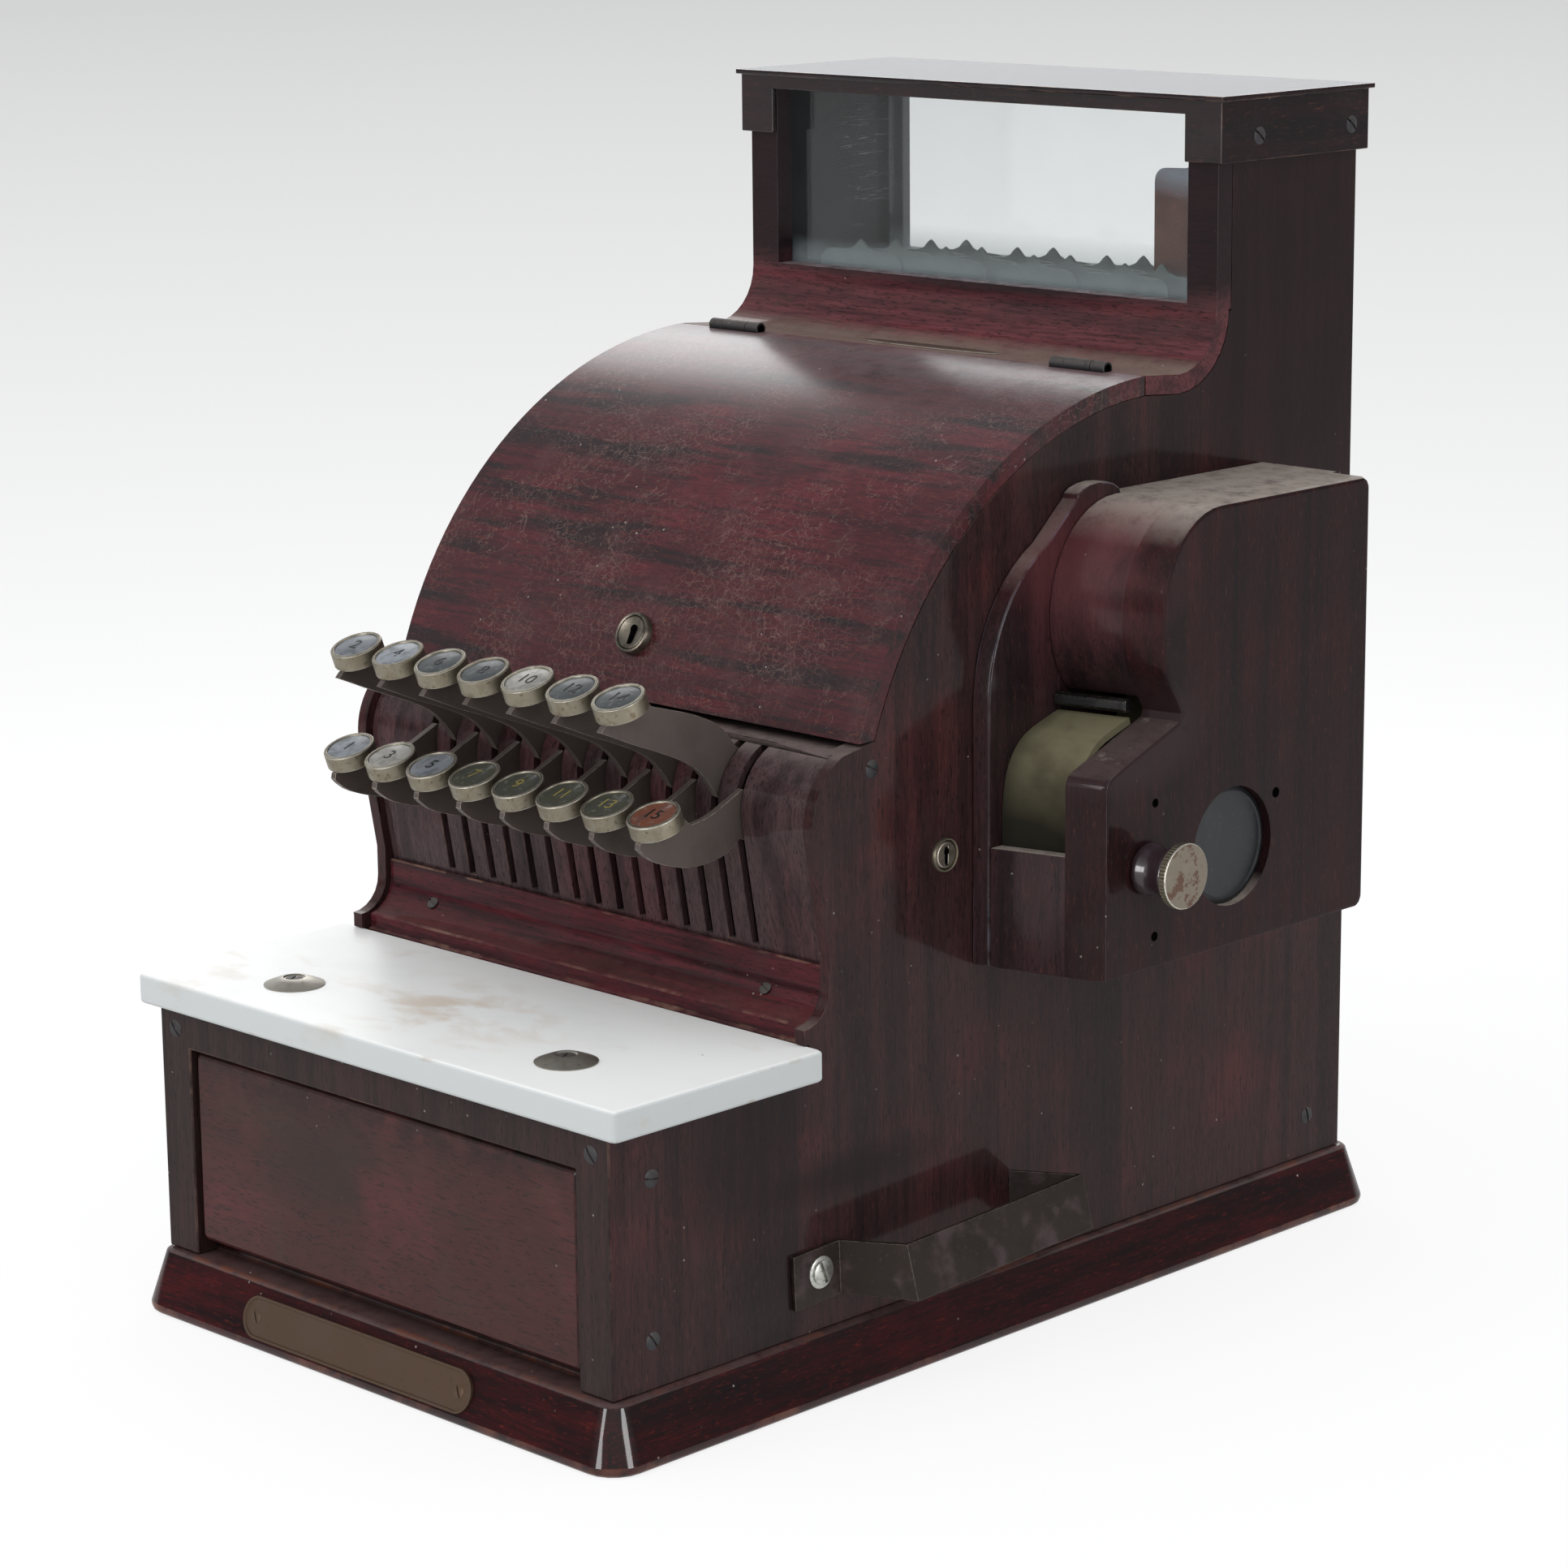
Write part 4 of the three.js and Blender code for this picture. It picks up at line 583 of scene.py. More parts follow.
glassMix = addNode(tree, "MixShader", {
    0: addNode(tree, "LightPath").outputs["Is Shadow Ray"], 1: seenGlass, 2: letThrough,
})
addNode(tree, "OutputMaterial", {"Surface": glassMix})

# cabinet

cornerSeam = {"postEnd": 10.05, "panelStart": 10.3}  # mm back from the front face
railEnds = {"z": 100.8, "x": 101.8}  # mm; above and between them the front frame is its rail
seamReach, frontFaceDepth = 0.1, 3  # mm
sideways = 0.7  # the share of a face's normal that points to the side


def depthOf(vertex):
    # mm back from the cabinet's front face
    return vertex.co.y * 1000 + cabinet["halfDepth"]


def closeJoint(bm, axis, border, meet):
    # stain and filler hide a joint of two boards, so its borders meet and stay sharp; all in mm
    for vertex in bm.verts:
        if abs(vertex.co[axis] * 1000 - border) < seamReach:
            vertex.co[axis] = meet / 1000
    return [e for e in bm.edges if all(abs(v.co[axis] * 1000 - meet) < seamReach for v in e.verts)]


def closeCorner(bm):
    return closeJoint(bm, 1, *(cornerSeam[end] - cabinet["halfDepth"] for end in ("panelStart", "postEnd")))


def pickFrame(centre, normal):
    # posts run upright, the rail across, and the corner's outer face is stained with the side
    if abs(normal.x) > sideways and abs(centre.x) * 1000 > cabinet["sideX"] - 1:
        return 2
    return 1 if centre.z * 1000 > railEnds["z"] and abs(centre.x) * 1000 < railEnds["x"] else 0


def frontEdge(edge):
    return all(depthOf(vertex) < frontFaceDepth for vertex in edge.verts)


def pickPlinth(centre, normal):
    return 1 if abs(normal.x) > abs(normal.y) else 0


def pickCapBoard(centre, normal):
    return 1 if abs(normal.x) > sideways else 0


dressNode("base_plinth", [plinthWood, plinthSideWood], "plinth", pickPlinth)
for node in ("side_panel_left", "side_panel_right"):
    dressNode(node, [sideWood], "board", fit=closeCorner)
dressNode("back_panel", [sideWood], "board")
dressNode("front_frame", [postWood, railWood, sideWood], "board", pickFrame, closeCorner)
dressNode("breast_plate", [breastWood], "thin")
dressNode("cove_moulding", [coveWood], "board")
dressNode("neck_panel", [neckWood], "thin")
dressNode("display_cap", [capWood, capSideWood], "thin", pickCapBoard)
dressNode("lid", [lidWood], "lid")
dressNode("drawer_front", [drawerWood], "thin", wide=("drawerFront", frontEdge))
for node in ("drawer_box", "mechanism_deck"):
    dressNode(node, [innerWood], "thin")
dressNode("marble_shelf", [marbleStone], "marble")
for node in ("front_glass", "rear_glass"):
    dressNode(node, [glass], "none")
print("cabinet dressed")

# printer housing

printerSide = {
    "shellEnd": 152.7, "boardStart": 153.05, "outer": 168.3,  # mm from the cabinet's middle
    "window": (256.5, 174.5), "windowReach": 26, "knobHoleReach": 6,  # Y, Z and radii, mm
}
knobAxis = {"y": 209.82, "z": 175, "boardX": 168.6, "bossEnd": 182.5, "rimX": 184.4, "faceNormal": 0.9}


def closeSeam(bm):
    return closeJoint(bm, 0, printerSide["shellEnd"], printerSide["boardStart"])


def outlineEdge(edge):
    # the outer border of the housing's face, not the rims of its window and its hole
    def onBorder(vertex):
        place = depthOf(vertex), vertex.co.z * 1000
        inHole = math.dist(place, (knobAxis["y"], knobAxis["z"])) < printerSide["knobHoleReach"]
        inWindow = math.dist(place, printerSide["window"]) < printerSide["windowReach"]
        return abs(vertex.co.x * 1000 - printerSide["outer"]) < seamReach and not inHole and not inWindow
    return all(onBorder(vertex) for vertex in edge.verts)


def pickKnob(centre, normal):
    # the boss behind the disc, the disc's face, and its rim
    if centre.x * 1000 < knobAxis["bossEnd"]:
        return 2
    return 1 if normal.x > knobAxis["faceNormal"] else 0


dressNode("printer_cheek", [shellWood], "board")
dressNode("printer_shell", [shellWood], "thin", fit=closeSeam)
dressNode("printer_side", [printerWood], "thin", fit=closeSeam, wide=("printerFace", outlineEdge))
for node in ("paper_platen", "paper_roll"):
    dressNode(node, [buffPaper], "none")
dressNode("tear_bar", [blackEnamel], "tearBar")
dressNode("feed_knob", [nickelPlate, rustyNickel, knobWood], "metal", pickKnob)
for node in ("side_lock", "lid_lock"):
    dressNode(node, [lockMetal], "metal")
dressNode("side_bracket", [strapSteel], "metal")
print("printer dressed")

# mechanism

for node in ("hinge_left", "hinge_right"):
    dressNode(node, [darkSteel], "metal")
dressNode("key_shaft", [darkSteel], "none")
dressNode("tablet_guide", [darkSteel], "metal")
for number in range(1, 15):
    dressNode(f"tablet_{number:02d}", [tabletEnamel], "tablet")
dressNode("tablet_15", [flagEnamel], "tablet")

keys = {
    "pitch": 11.3, "middle": 8,
    "upper": (54.78, 245.6), "lower": (59.38, 206.4),  # Y and Z of a cap's top centre, mm
    "tilt": 20, "capZone": (9.7, 0.3, 5.8),  # degrees; radius and heights above and below the top, mm
    "figureSize": 7.5, "figureThick": 0.08, "figureLift": -0.07,
    # radius and height of the disc from the cap's top, mm
    "disc": [(0, -0.85), (8.1, -0.85), (8.1, -0.5), (7.3, -0.25), (0, -0.1)],
}
capTurn = Matrix.Rotation(math.radians(keys["tilt"]), 4, "X")
capNormal = capTurn @ Vector(upward)

# a clear glossy lacquer over printed card
lacquered = {"rough": 0.5, "shine": 0.1, "coat": 0.12, "coatRough": 0.12}

# the card: dull colour, smeared
cardLayers = [
    layerOf(5, (0.42, 0.66), 0.5, "3a3d3f", detail=4, wander=0.6),
    layerOf(2.4, (0.55, 0.7), 0.35, "85857f", shift=(3, 1, 2)),
]
discColours = {
    "paleBlueDisc": "898e94", "blueGreyDisc": "767a80", "dullGreyDisc": "9d9a93", "slateDisc": "464a4c",
    "darkGreenDisc": "434439", "orangeRedDisc": "6e4131",
}
discFinishes = {
    name: makeFinish(name, {**lacquered, "base": ground}, cardLayers) for name, ground in discColours.items()
}

# printer's ink under the same lacquer, gone thin in places
inkLayers = [layerOf(1.2, (0.5, 0.7), 0.6, "56564f")]
darkFigure = makeFinish("darkFigure", {**lacquered, "base": "15171a"}, inkLayers)
yellowFigure = makeFinish("yellowFigure", {**lacquered, "base": "8c7f48"}, inkLayers)
keysWithDisc = {
    "paleBlueDisc": (1, 4), "blueGreyDisc": (2, 5), "dullGreyDisc": (3, 10), "slateDisc": (6, 8, 12, 14),
    "darkGreenDisc": (7, 9, 11, 13), "orangeRedDisc": (15,),
}
discOfKey = {number: name for name, numbers in keysWithDisc.items() for number in numbers}


def figureShape(text):
    # a plain figure, flat, centred on the origin
    curve = bpy.data.curves.new("figure", "FONT")
    curve.body = text
    curve.size = keys["figureSize"] / 1000
    curve.align_x = "CENTER"
    curve.align_y = "CENTER"
    curve.extrude = keys["figureThick"] / 2000
    holder = makeObject("figure", curve)
    bpy.context.view_layer.update()
    flat = bpy.data.meshes.new_from_object(holder.evaluated_get(bpy.context.evaluated_depsgraph_get()))
    bpy.data.objects.remove(holder)
    return flat


for number in range(1, 16):
    node = f"key_{number:02d}"
    y, z = keys["lower"] if number % 2 else keys["upper"]
    top = cabinetPoint((number - keys["middle"]) * keys["pitch"], y, z)

    def pickCap(centre, normal, top=top):
        # the round cap is plated, the lever isn't
        away = centre - top
        depth = -away.dot(capNormal)
        radial = (away + capNormal * depth).length
        reach, above, below = (v / 1000 for v in keys["capZone"])
        return 1 if radial < reach and -above < depth < below else 0

    dressNode(node, [leverSteel, nickelPlate], "metal", pickCap)
    bm = turnedShape(keys["disc"])
    figure = figureShape(str(number))
    figure.transform(Matrix.Translation((0, 0, keys["figureLift"] / 1000)))
    firstFigureFace = len(bm.faces)
    bm.from_mesh(figure)
    for face in list(bm.faces)[firstFigureFace:]:
        face.material_index = 1
    disc = discOfKey[number]
    ink = yellowFigure if disc == "darkGreenDisc" else darkFigure
    finishPiece(node + "_disc", bm, [discFinishes[disc], ink], node, 30, Matrix.Translation(top) @ capTurn)
print("keys dressed")

# screws


def moveTop(bm, extruded, rise):
    # moves what was extruded along local Z, in mm
    moved = [v for v in extruded["geom"] if isinstance(v, bmesh.types.BMVert)]
    bmesh.ops.translate(bm, verts=moved, vec=(0, 0, rise / 1000))


def slottedScrew(name, point, outward, look, finish, turn):
    # a round head in mm with its slot pressed in; heights are shares of the dome's
    radius, dome, slit = look["radius"], look["dome"], look["slit"]
    head = [(radius, -0.4), (radius, 0.15 * dome), (0.7 * radius, 0.7 * dome)]
    if "flange" in look:  # a flat collar under the head
        flange = look["flange"]
        head = [(flange, -0.4), (flange, 0.35), (flange - 0.3, 0.6), (radius, 0.65), (radius, 0.7 * dome),
                (radius - 0.5, 0.9 * dome)]
    bm = turnedShape([(0, -0.4), *head, (0, dome)], 28)
    for side in (-1, 1):
        bmesh.ops.bisect_plane(
            bm, geom=bm.verts[:] + bm.edges[:] + bm.faces[:], plane_co=(side * slit / 2000, 0, 0), plane_no=rightward,
        )
    slotFrom = 0.75 * dome if "flange" in look else 0
    slotFaces = [
        f for f in bm.faces if abs(f.calc_center_median().x) < slit / 2000 and f.normal.z > 0.3
        and f.calc_center_median().z * 1000 > slotFrom
    ]
    cut = bmesh.ops.extrude_face_region(bm, geom=slotFaces)
    bmesh.ops.delete(bm, geom=slotFaces, context="FACES_ONLY")
    moveTop(bm, cut, -look["depth"])
    bmesh.ops.recalc_face_normals(bm, faces=bm.faces)
    finishPiece(name, bm, [finish], "case", 40, placing(point, outward, turn))


woodScrew = {"radius": 3.2, "dome": 0.6, "slit": 0.8, "depth": 0.5}
smallScrew = {"radius": 2.4, "dome": 0.4, "slit": 0.7, "depth": 0.4}
strapScrew = {"radius": 4.3, "dome": 1.7, "slit": 1.3, "depth": 1, "flange": 5.8}
marbleScrew = {"radius": 3.3, "dome": 0.4, "slit": 0.9, "depth": 0.5}

# the screw, its place on the right in mm, the way it faces, and the way its slot points; the left is its mirror
caseScrews = {
    "side_screw_lowFront": (woodScrew, (118, 18.4, 40.6), rightward, 35),
    "side_screw_highFront": (woodScrew, (118, 18.9, 96.8), rightward, 80),
    "side_screw_lowRear": (woodScrew, (118, 366.3, 39.7), rightward, 15),
    "side_screw_breast": (woodScrew, (118, 124.9, 216.8), rightward, 60),
    "cap_screw_front": (woodScrew, (121.1, 325.2, 416.8), rightward, 50),
    "cap_screw_rear": (woodScrew, (121.1, 378.9, 417.5), rightward, 50),
    "post_screw": (woodScrew, (109.5, 0, 107.5), (0, -1, 0), 40),
    "cove_screw": (smallScrew, (87, 103.7, 138.5), (0, -0.75, 0.66), 70),
}
for hand, side in hands.items():
    for name, (look, (x, y, z), (across, back, up), turn) in caseScrews.items():
        slottedScrew(f"{name}_{hand}", (side * x, y, z), (side * across, back, up), look, darkSteel, turn)

# cup washers that hold the marble
cupWasher = {
    "x": 71.5, "y": 24.7, "z": 126, "screwZ": 128.2, "slotTurn": 25,
    "profile": [(0, 0), (10.8, 0), (11, 0.4), (9.6, 1), (7, 2), (5, 2.7), (4, 2.8), (3.5, 2.3), (0, 2.1)],
}
for hand, side in hands.items():
    x, y = side * cupWasher["x"], cupWasher["y"]
    finishPiece(f"marble_washer_{hand}", turnedShape(cupWasher["profile"], 48), [washerNickel], "case",
                seat=placing((x, y, cupWasher["z"]), upward))
    slottedScrew(f"marble_screw_{hand}", (x, y, cupWasher["screwZ"]), upward, marbleScrew, darkSteel,
                 cupWasher["slotTurn"])

slottedScrew("strap_screw", (120, 96.2, 45.3), rightward, strapScrew, brightZinc, 20)
print("screws set")

# bare plates


def roundEndedPlate(length, width, thick, lip):
    # a flat plate with half-round ends and a raised lip, lying on local XY
    bm = bmesh.new()
    bmesh.ops.create_circle(bm, cap_ends=True, segments=48, radius=width / 2000)
    for side in (-1, 1):
        moved = [v for v in bm.verts if v.co.x * side > mergeWithin]
        bmesh.ops.translate(bm, verts=moved, vec=(side * (length - width) / 2000, 0, 0))
    moveTop(bm, bmesh.ops.extrude_face_region(bm, geom=bm.faces[:]), thick)
    bmesh.ops.recalc_face_normals(bm, faces=bm.faces)
    face = max(bm.faces, key=lambda f: f.calc_center_median().z)
    for inset, sink in ((lip["width"], 0), (lip["slope"], lip["height"])):
        bmesh.ops.inset_region(bm, faces=[face], thickness=inset / 1000, depth=-sink / 1000)
    return bm


namePlate = {
    "x": -5.8, "length": 122, "width": 15.5, "thick": 1.2, "lip": {"width": 0.9, "slope": 0.3, "height": 0.4},
    "screws": (-60.2, 48.7), "screwRise": 0.8, "slotTurn": 30,
}
plinthSlope = {"bottomY": -9.6, "topY": -3, "height": 23.5}  # the plinth's front face
plinthLean = math.atan2(plinthSlope["topY"] - plinthSlope["bottomY"], plinthSlope["height"])
plinthOutward = Vector((0, -math.cos(plinthLean), math.sin(plinthLean)))
plinthMiddle = Vector((0, (plinthSlope["bottomY"] + plinthSlope["topY"]) / 2, plinthSlope["height"] / 2))
bm = roundEndedPlate(namePlate["length"], namePlate["width"], namePlate["thick"], namePlate["lip"])
finishPiece("name_plate", bm, [oldBrass], "case",
            seat=placing(plinthMiddle + Vector((namePlate["x"], 0, 0)), plinthOutward))
for number, x in enumerate(namePlate["screws"]):
    point = plinthMiddle + Vector((x, 0, 0)) + plinthOutward * namePlate["screwRise"]
    slottedScrew(f"name_plate_screw_{number + 1}", point, plinthOutward, smallScrew, oldBrass, namePlate["slotTurn"])

# flush oval plate behind the lid, bare
ovalPlate = {"length": 68, "width": 14, "y": 281.5, "z": 334.9, "thick": 0.7, "rise": 0.077, "edge": 0.25}
ovalStain = makeFinish("dustyLacquer", {"base": "5c4b42", "rough": 0.6, "shine": 0.2}, [
    layerOf(14, (0.4, 0.7), 0.6, "4b3c36", detail=5),
    layerOf(3, (0.55, 0.7), 0.5, "7c6d63"),
    layerOf(9, (0.3, 0.5), 0.9, "a8a097", edge=True),
])


def roundBlock(bm, radius, thick, segments):
    return bmesh.ops.create_cone(
        bm, cap_ends=True, segments=segments, radius1=radius / 1000, radius2=radius / 1000, depth=thick / 1000,
    )


bm = bmesh.new()
roundBlock(bm, ovalPlate["width"] / 2, ovalPlate["thick"], 64)
bmesh.ops.scale(bm, verts=bm.verts, vec=(ovalPlate["length"] / ovalPlate["width"], 1, 1))
bm.faces.layers.float.new("roundedEdge")
roundEdges(bm, [e for e in bm.edges if all(v.co.z > 0 for v in e.verts)], ovalPlate["edge"], 2)
finishPiece("neck_oval_plate", bm, [ovalStain], "case",
            seat=placing((0, ovalPlate["y"], ovalPlate["z"]), (0, ovalPlate["rise"], 1)))

# lock rings, hinge knuckles and printer trim


def keyholeShape(width, length, head, low, high):
    # painted shade of a keyhole: a slot with a round head, as a dark prism between two heights, in mm; the head stands
    # 0.02 prouder
    bm = bmesh.new()
    bmesh.ops.create_cube(bm, size=1)
    bmesh.ops.scale(bm, verts=bm.verts, vec=(width / 1000, length / 1000, (high - low) / 1000))
    bmesh.ops.translate(bm, verts=bm.verts, vec=(0, -length / 4000, (low + high) / 2000))
    upright = [e for e in bm.edges if abs((e.verts[0].co - e.verts[1].co).z) > mergeWithin]
    bmesh.ops.bevel(bm, geom=upright, offset=width / 3000, affect="EDGES", segments=3, profile=0.5, material=-1)
    barrel = roundBlock(bm, head, high - low, 20)
    bmesh.ops.translate(bm, verts=barrel["verts"], vec=(0, length / 4000, (low + high + 0.04) / 2000))
    return bm


lidLock = {
    "centre": (0, 127.71, 247.27), "angle": 27,
    "ring": [(6.3, -0.6), (7.6, -0.6), (7.7, 2.2), (7.45, 2.9), (6.95, 3.2), (6.45, 2.9), (6.3, 2.4), (6.3, -0.6)],
    "dish": [(0, 1.61), (6.1, 1.61), (6.1, 2.8), (5.8, 3), (4.8, 2.45), (3.2, 2), (1.5, 1.78), (0, 1.72)],
    "keyhole": (2.2, 6.5, 1.5, 1.65, 2.3),  # width, length, radius of its head, and its two heights
}
lidSlope = math.radians(lidLock["angle"])
seat = placing(lidLock["centre"], (0, -math.cos(lidSlope), math.sin(lidSlope)))
finishPiece("lid_lock_ring", turnedShape(lidLock["ring"], 48), [lockMetal], "lid", seat=seat)
finishPiece("lid_lock_dish", turnedShape(lidLock["dish"], 48), [lockMetal], "lid_lock", seat=seat)
finishPiece("lid_lock_keyhole_shade", keyholeShape(*lidLock["keyhole"]), [holeShade], "lid_lock", seat=seat)

sideLock = {
    "centre": (118, 160.82, 180.4), "keyhole": (1, 5, 1.3, 1.1, 1.24),
    "ring": [(5.3, -0.2), (6.1, -0.2), (6.1, 0.8), (5.8, 1.35), (5.45, 1.3), (5.3, 1), (5.3, -0.2)],
}
seat = placing(sideLock["centre"], rightward)
finishPiece("side_lock_ring", turnedShape(sideLock["ring"], 40), [nickelPlate], "case", seat=seat)
finishPiece("side_lock_keyhole_shade", keyholeShape(*sideLock["keyhole"]), [holeShade], "side_lock", seat=seat)

hinge = {
    "y": 266.5, "z": 336.89, "x": 87.5, "barrel": 26,  # the axis, its middle, and the whole barrel's length
    "knuckle": [(1.25, -6.3), (2.5, -6.3), (2.5, 6.3), (1.25, 6.3), (1.25, -6.3)],
    "hole": [(0, 0), (1.7, 0), (1.7, 0.08), (0, 0.06)],
}
for hand, side in hands.items():
    finishPiece(f"hinge_knuckle_{hand}", turnedShape(hinge["knuckle"], 28), [darkSteel], "lid",
                seat=placing((side * hinge["x"], hinge["y"], hinge["z"]), rightward))
    # painted shade: a dark disc at each end of the barrel stands for its hole
    for end in (-1, 1):
        point = (side * hinge["x"] + end * hinge["barrel"] / 2, hinge["y"], hinge["z"])
        finishPiece(f"hinge_hole_shade_{hand}_{'outer' if end == side else 'inner'}", turnedShape(hinge["hole"], 20),
                    [holeShade], "case", seat=placing(point, (end, 0, 0)))

darkWindow = {
    "centre": (163.8, 256.5, 174.5),
    "profile": [(0, 0), (21.2, 0), (21.2, 1.2), (19.6, 1.6), (19, 1), (0, 1)],
}
darkGlass = makeFinish("darkWindow", {"base": "1a1c20", "rough": 0.4, "shine": 0.4}, [
    layerOf(12, (0.45, 0.7), 0.5, "2c2e31", rough=0.45, detail=5),
    layerOf(2, (0.6, 0.72), 0.3, "45474a"),
])
finishPiece("side_window_disc", turnedShape(darkWindow["profile"], 56), [darkGlass], "case",
            seat=placing(darkWindow["centre"], rightward))

# painted shade: dark discs a little proud of the housing stand for its pin holes
pinHoles = ((280.6, 189.8, 1.9), (214, 197.4, 1.6), (214.1, 149.7, 1.7))  # Y, Z and radius, mm
for number, (y, z, radius) in enumerate(pinHoles):
    bm = turnedShape([(0, -0.3), (radius, -0.3), (radius, 0.06), (0, 0.02)], 20)
    finishPiece(f"printer_pin_hole_shade_{number + 1}", bm, [holeShade], "case",
                seat=placing((printerSide["outer"], y, z), rightward))

# the knob's bobbin-shaped boss and the milled rim of its disc
knobBoss = [
    (0, 0.1), (9.1, 0.1), (9.5, 1), (9.4, 2.2), (8.5, 4), (7.9, 6), (8, 8), (8.8, 10), (9.8, 11.4), (10.2, 12.6),
    (10, 13.5), (9.4, 13.9), (0, 13.9),
]
finishPiece("knob_boss", turnedShape(knobBoss, 56), [knobWood], "feed_knob", 50,
            placing((knobAxis["boardX"], knobAxis["y"], knobAxis["z"]), rightward))

knobRim = {"radius": 11.75, "tooth": 0.4, "width": 2.4, "teeth": 60}
bm = bmesh.new()
roundBlock(bm, knobRim["radius"], knobRim["width"], knobRim["teeth"] * 2)
for vertex in bm.verts:
    angle = math.atan2(vertex.co.y, vertex.co.x)
    if round(angle / math.tau * knobRim["teeth"] * 2) % 2:
        vertex.co.xy *= 1 - knobRim["tooth"] / knobRim["radius"]
finishPiece("knob_rim", bm, [nickelPlate], "feed_knob", 20,
            placing((knobAxis["rimX"], knobAxis["y"], knobAxis["z"]), rightward))
print("fittings made")

# stage: pale floor, soft light

stage = {
    # the floor glows pale, and darker from "near" to "near" times "spread" metres from its middle
    "floorSize": 60, "near": 0.9, "spread": 10, "nearColour": "fefefe", "farColour": "c9c9c9",
    "floorGlow": 0.7, "glowStrength": 1.2, "litColour": "cccccc", "litRough": 0.9,
    # the room's light from low to high, and what mirrors show of it
    "fillLow": 0.52, "fillHigh": 1.22, "fillColour": "f8f9fb",
    "horizonColour": "5c5e62", "roomColour": "f2f3f4", "ceilingColour": "8a8d92", "backdrop": "d3d3d3",
    "wallRise": (0.12, 0.3), "ceilingRise": (0.45, 0.9),  # sines of the heights between which they set in
    "paleSide": (-0.7, 0.7, 0), "paleFrom": 0.2, "paleTo": 0.6,  # the room is pale to the floor on this side
    # degrees round the object, distance, height, width and height of the box in metres, watts, and
    # whether it is for diffuse light and for mirror images
    "softboxes": {
        "front": (-88, 2.3, 0.5, 0.6, 0.9, 22, False, True), "right": (-2, 2.3, 0.5, 0.6, 0.9, 22, False, True),
        "behind": (133, 2.6, 1.5, 1.8, 1.1, 27, False, True), "above": (-105, 2.2, 2.2, 1.6, 1.2, 14, True, False),
    },
    "aim": (0, 0, 0.2),  # the point that they face, in metres
}


def seenRays(tree, share):
    # rays that show the background: straight to the eye, in metal and through glass
    paths = addNode(tree, "LightPath").outputs
    seen = addNode(tree, "Math", {"operation": "MAXIMUM", 0: paths["Is Camera Ray"], 1: paths["Is Glossy Ray"]})
    seen = addNode(tree, "Math", {"operation": "MAXIMUM", 0: seen, 1: paths["Is Transmission Ray"]})
    return addNode(tree, "Math", {"operation": "MULTIPLY", 0: seen, 1: share})


floorMaterial = bpy.data.materials.new("paleFloor")
tree = emptyTree(floorMaterial)
place = addNode(tree, "TexCoord").outputs["Object"]
away = addNode(tree, "VectorMath", {"operation": "LENGTH", 0: place}).outputs["Value"]
away = addNode(tree, "Math", {"operation": "DIVIDE", 0: away, 1: stage["near"]})
blend = addNode(tree, "Math", {"operation": "LOGARITHM", "use_clamp": True, 0: away, 1: stage["spread"]})
floorColour = addNode(tree, "Mix", {
    "data_type": "RGBA", 0: blend, 6: hexColour(stage["nearColour"]), 7: hexColour(stage["farColour"]),
}).outputs[2]
matte = addNode(tree, "BsdfPrincipled", {
    "Base Color": hexColour(stage["litColour"]), "Roughness": stage["litRough"], "Specular IOR Level": 0,
})
glow = addNode(tree, "Emission", {"Strength": stage["glowStrength"], "Color": floorColour})
floorMix = addNode(tree, "MixShader", {0: seenRays(tree, stage["floorGlow"]), 1: matte, 2: glow})
addNode(tree, "OutputMaterial", {"Surface": floorMix})
bm = bmesh.new()
bmesh.ops.create_grid(bm, x_segments=1, y_segments=1, size=stage["floorSize"] / 2)
floorMesh = bpy.data.meshes.new("floor")
bm.to_mesh(floorMesh)
bm.free()
floorMesh.materials.append(floorMaterial)
makeObject("floor", floorMesh)

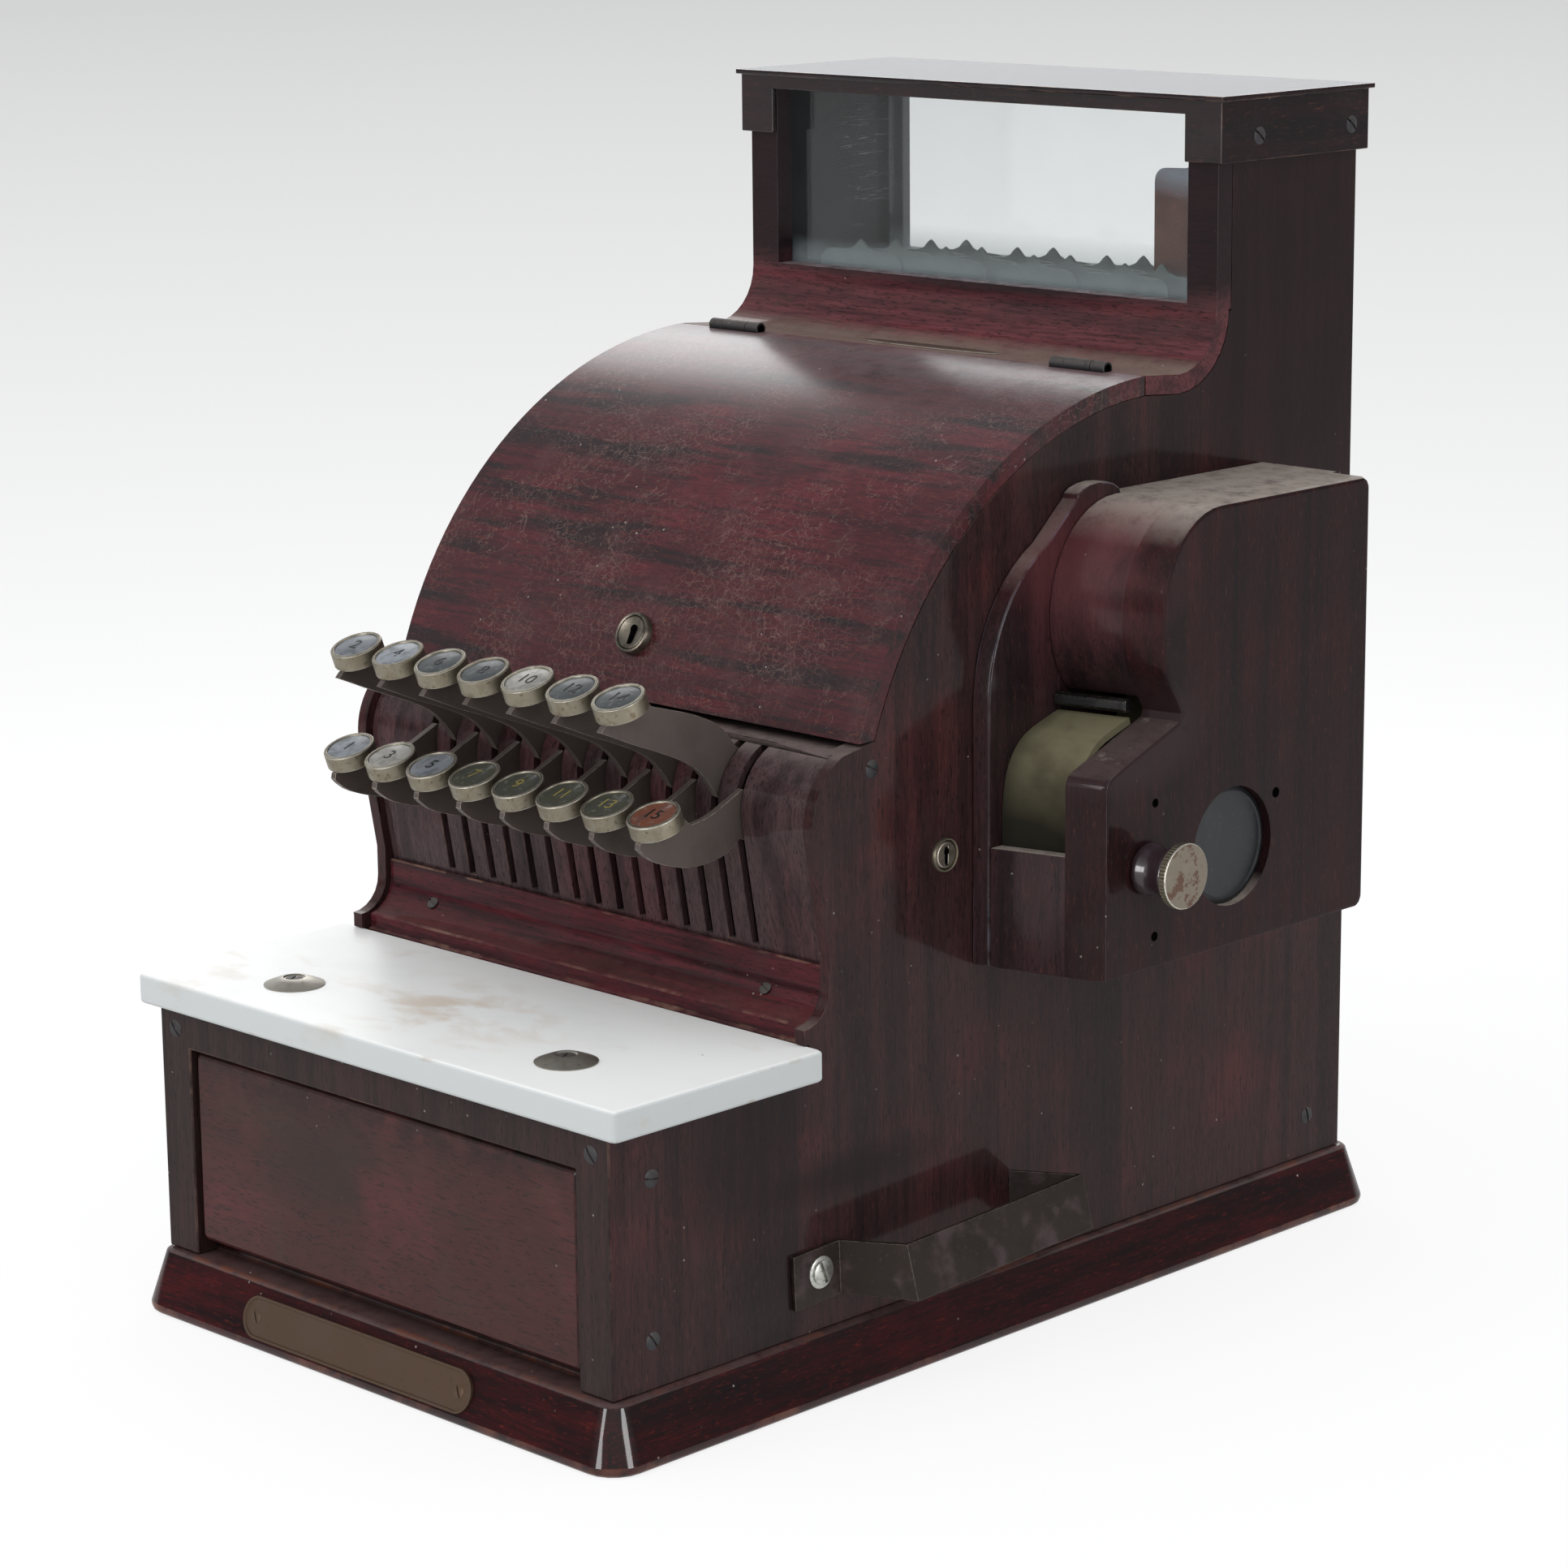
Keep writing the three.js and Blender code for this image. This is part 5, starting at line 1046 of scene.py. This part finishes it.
for name, (turn, distance, height, across, tall, power, lights, mirrored) in stage["softboxes"].items():
    boxData = bpy.data.lights.new(name + "Softbox", "AREA")
    boxData.shape = "RECTANGLE"
    boxData.size, boxData.size_y = across, tall
    boxData.energy = power
    softbox = makeObject(name + "Softbox", boxData)
    angle = math.radians(turn)
    softbox.location = (distance * math.cos(angle), distance * math.sin(angle), height)
    softbox.rotation_euler = (softbox.location - Vector(stage["aim"])).to_track_quat("Z", "Y").to_euler()
    softbox.visible_diffuse = lights
    softbox.visible_glossy = mirrored

world = bpy.data.worlds.new("paleRoom")
bpy.context.scene.world = world
tree = emptyTree(world)
direction = addNode(tree, "TexCoord").outputs["Generated"]
lookUp = addNode(tree, "SeparateXYZ", {"Vector": direction}).outputs["Z"]
strength = addNode(tree, "MapRange", {"Value": lookUp, "To Min": stage["fillLow"], "To Max": stage["fillHigh"]})
fill = addNode(tree, "Background", {"Color": hexColour(stage["fillColour"]), "Strength": strength})
begin, full = stage["wallRise"]
wallShare = addNode(tree, "MapRange", {"Value": lookUp, "From Min": begin, "From Max": full})
side = addNode(tree, "VectorMath", {"operation": "DOT_PRODUCT", 0: direction, 1: stage["paleSide"]}).outputs["Value"]
sideShare = addNode(tree, "MapRange", {
    "Value": side, "From Min": stage["paleFrom"], "From Max": stage["paleTo"],
})
wallShare = addNode(tree, "Math", {"operation": "MAXIMUM", 0: wallShare, 1: sideShare})
begin, full = stage["ceilingRise"]
ceilingShare = addNode(tree, "MapRange", {"Value": lookUp, "From Min": begin, "From Max": full})
seenDirectly = addNode(tree, "LightPath").outputs["Is Camera Ray"]  # there the room carries on the far floor
room = hexColour(stage["horizonColour"])
for share, colour in ((wallShare, "roomColour"), (ceilingShare, "ceilingColour"), (seenDirectly, "backdrop")):
    room = addNode(tree, "Mix", {"data_type": "RGBA", 0: share, 6: room, 7: hexColour(stage[colour])}).outputs[2]
shown = addNode(tree, "Background", {"Strength": 1, "Color": room})
roomMix = addNode(tree, "MixShader", {0: seenRays(tree, 1), 1: fill, 2: shown})
addNode(tree, "OutputWorld", {"Surface": roomMix})
bpy.context.scene.view_settings.view_transform = "Standard"
print("stage lit")
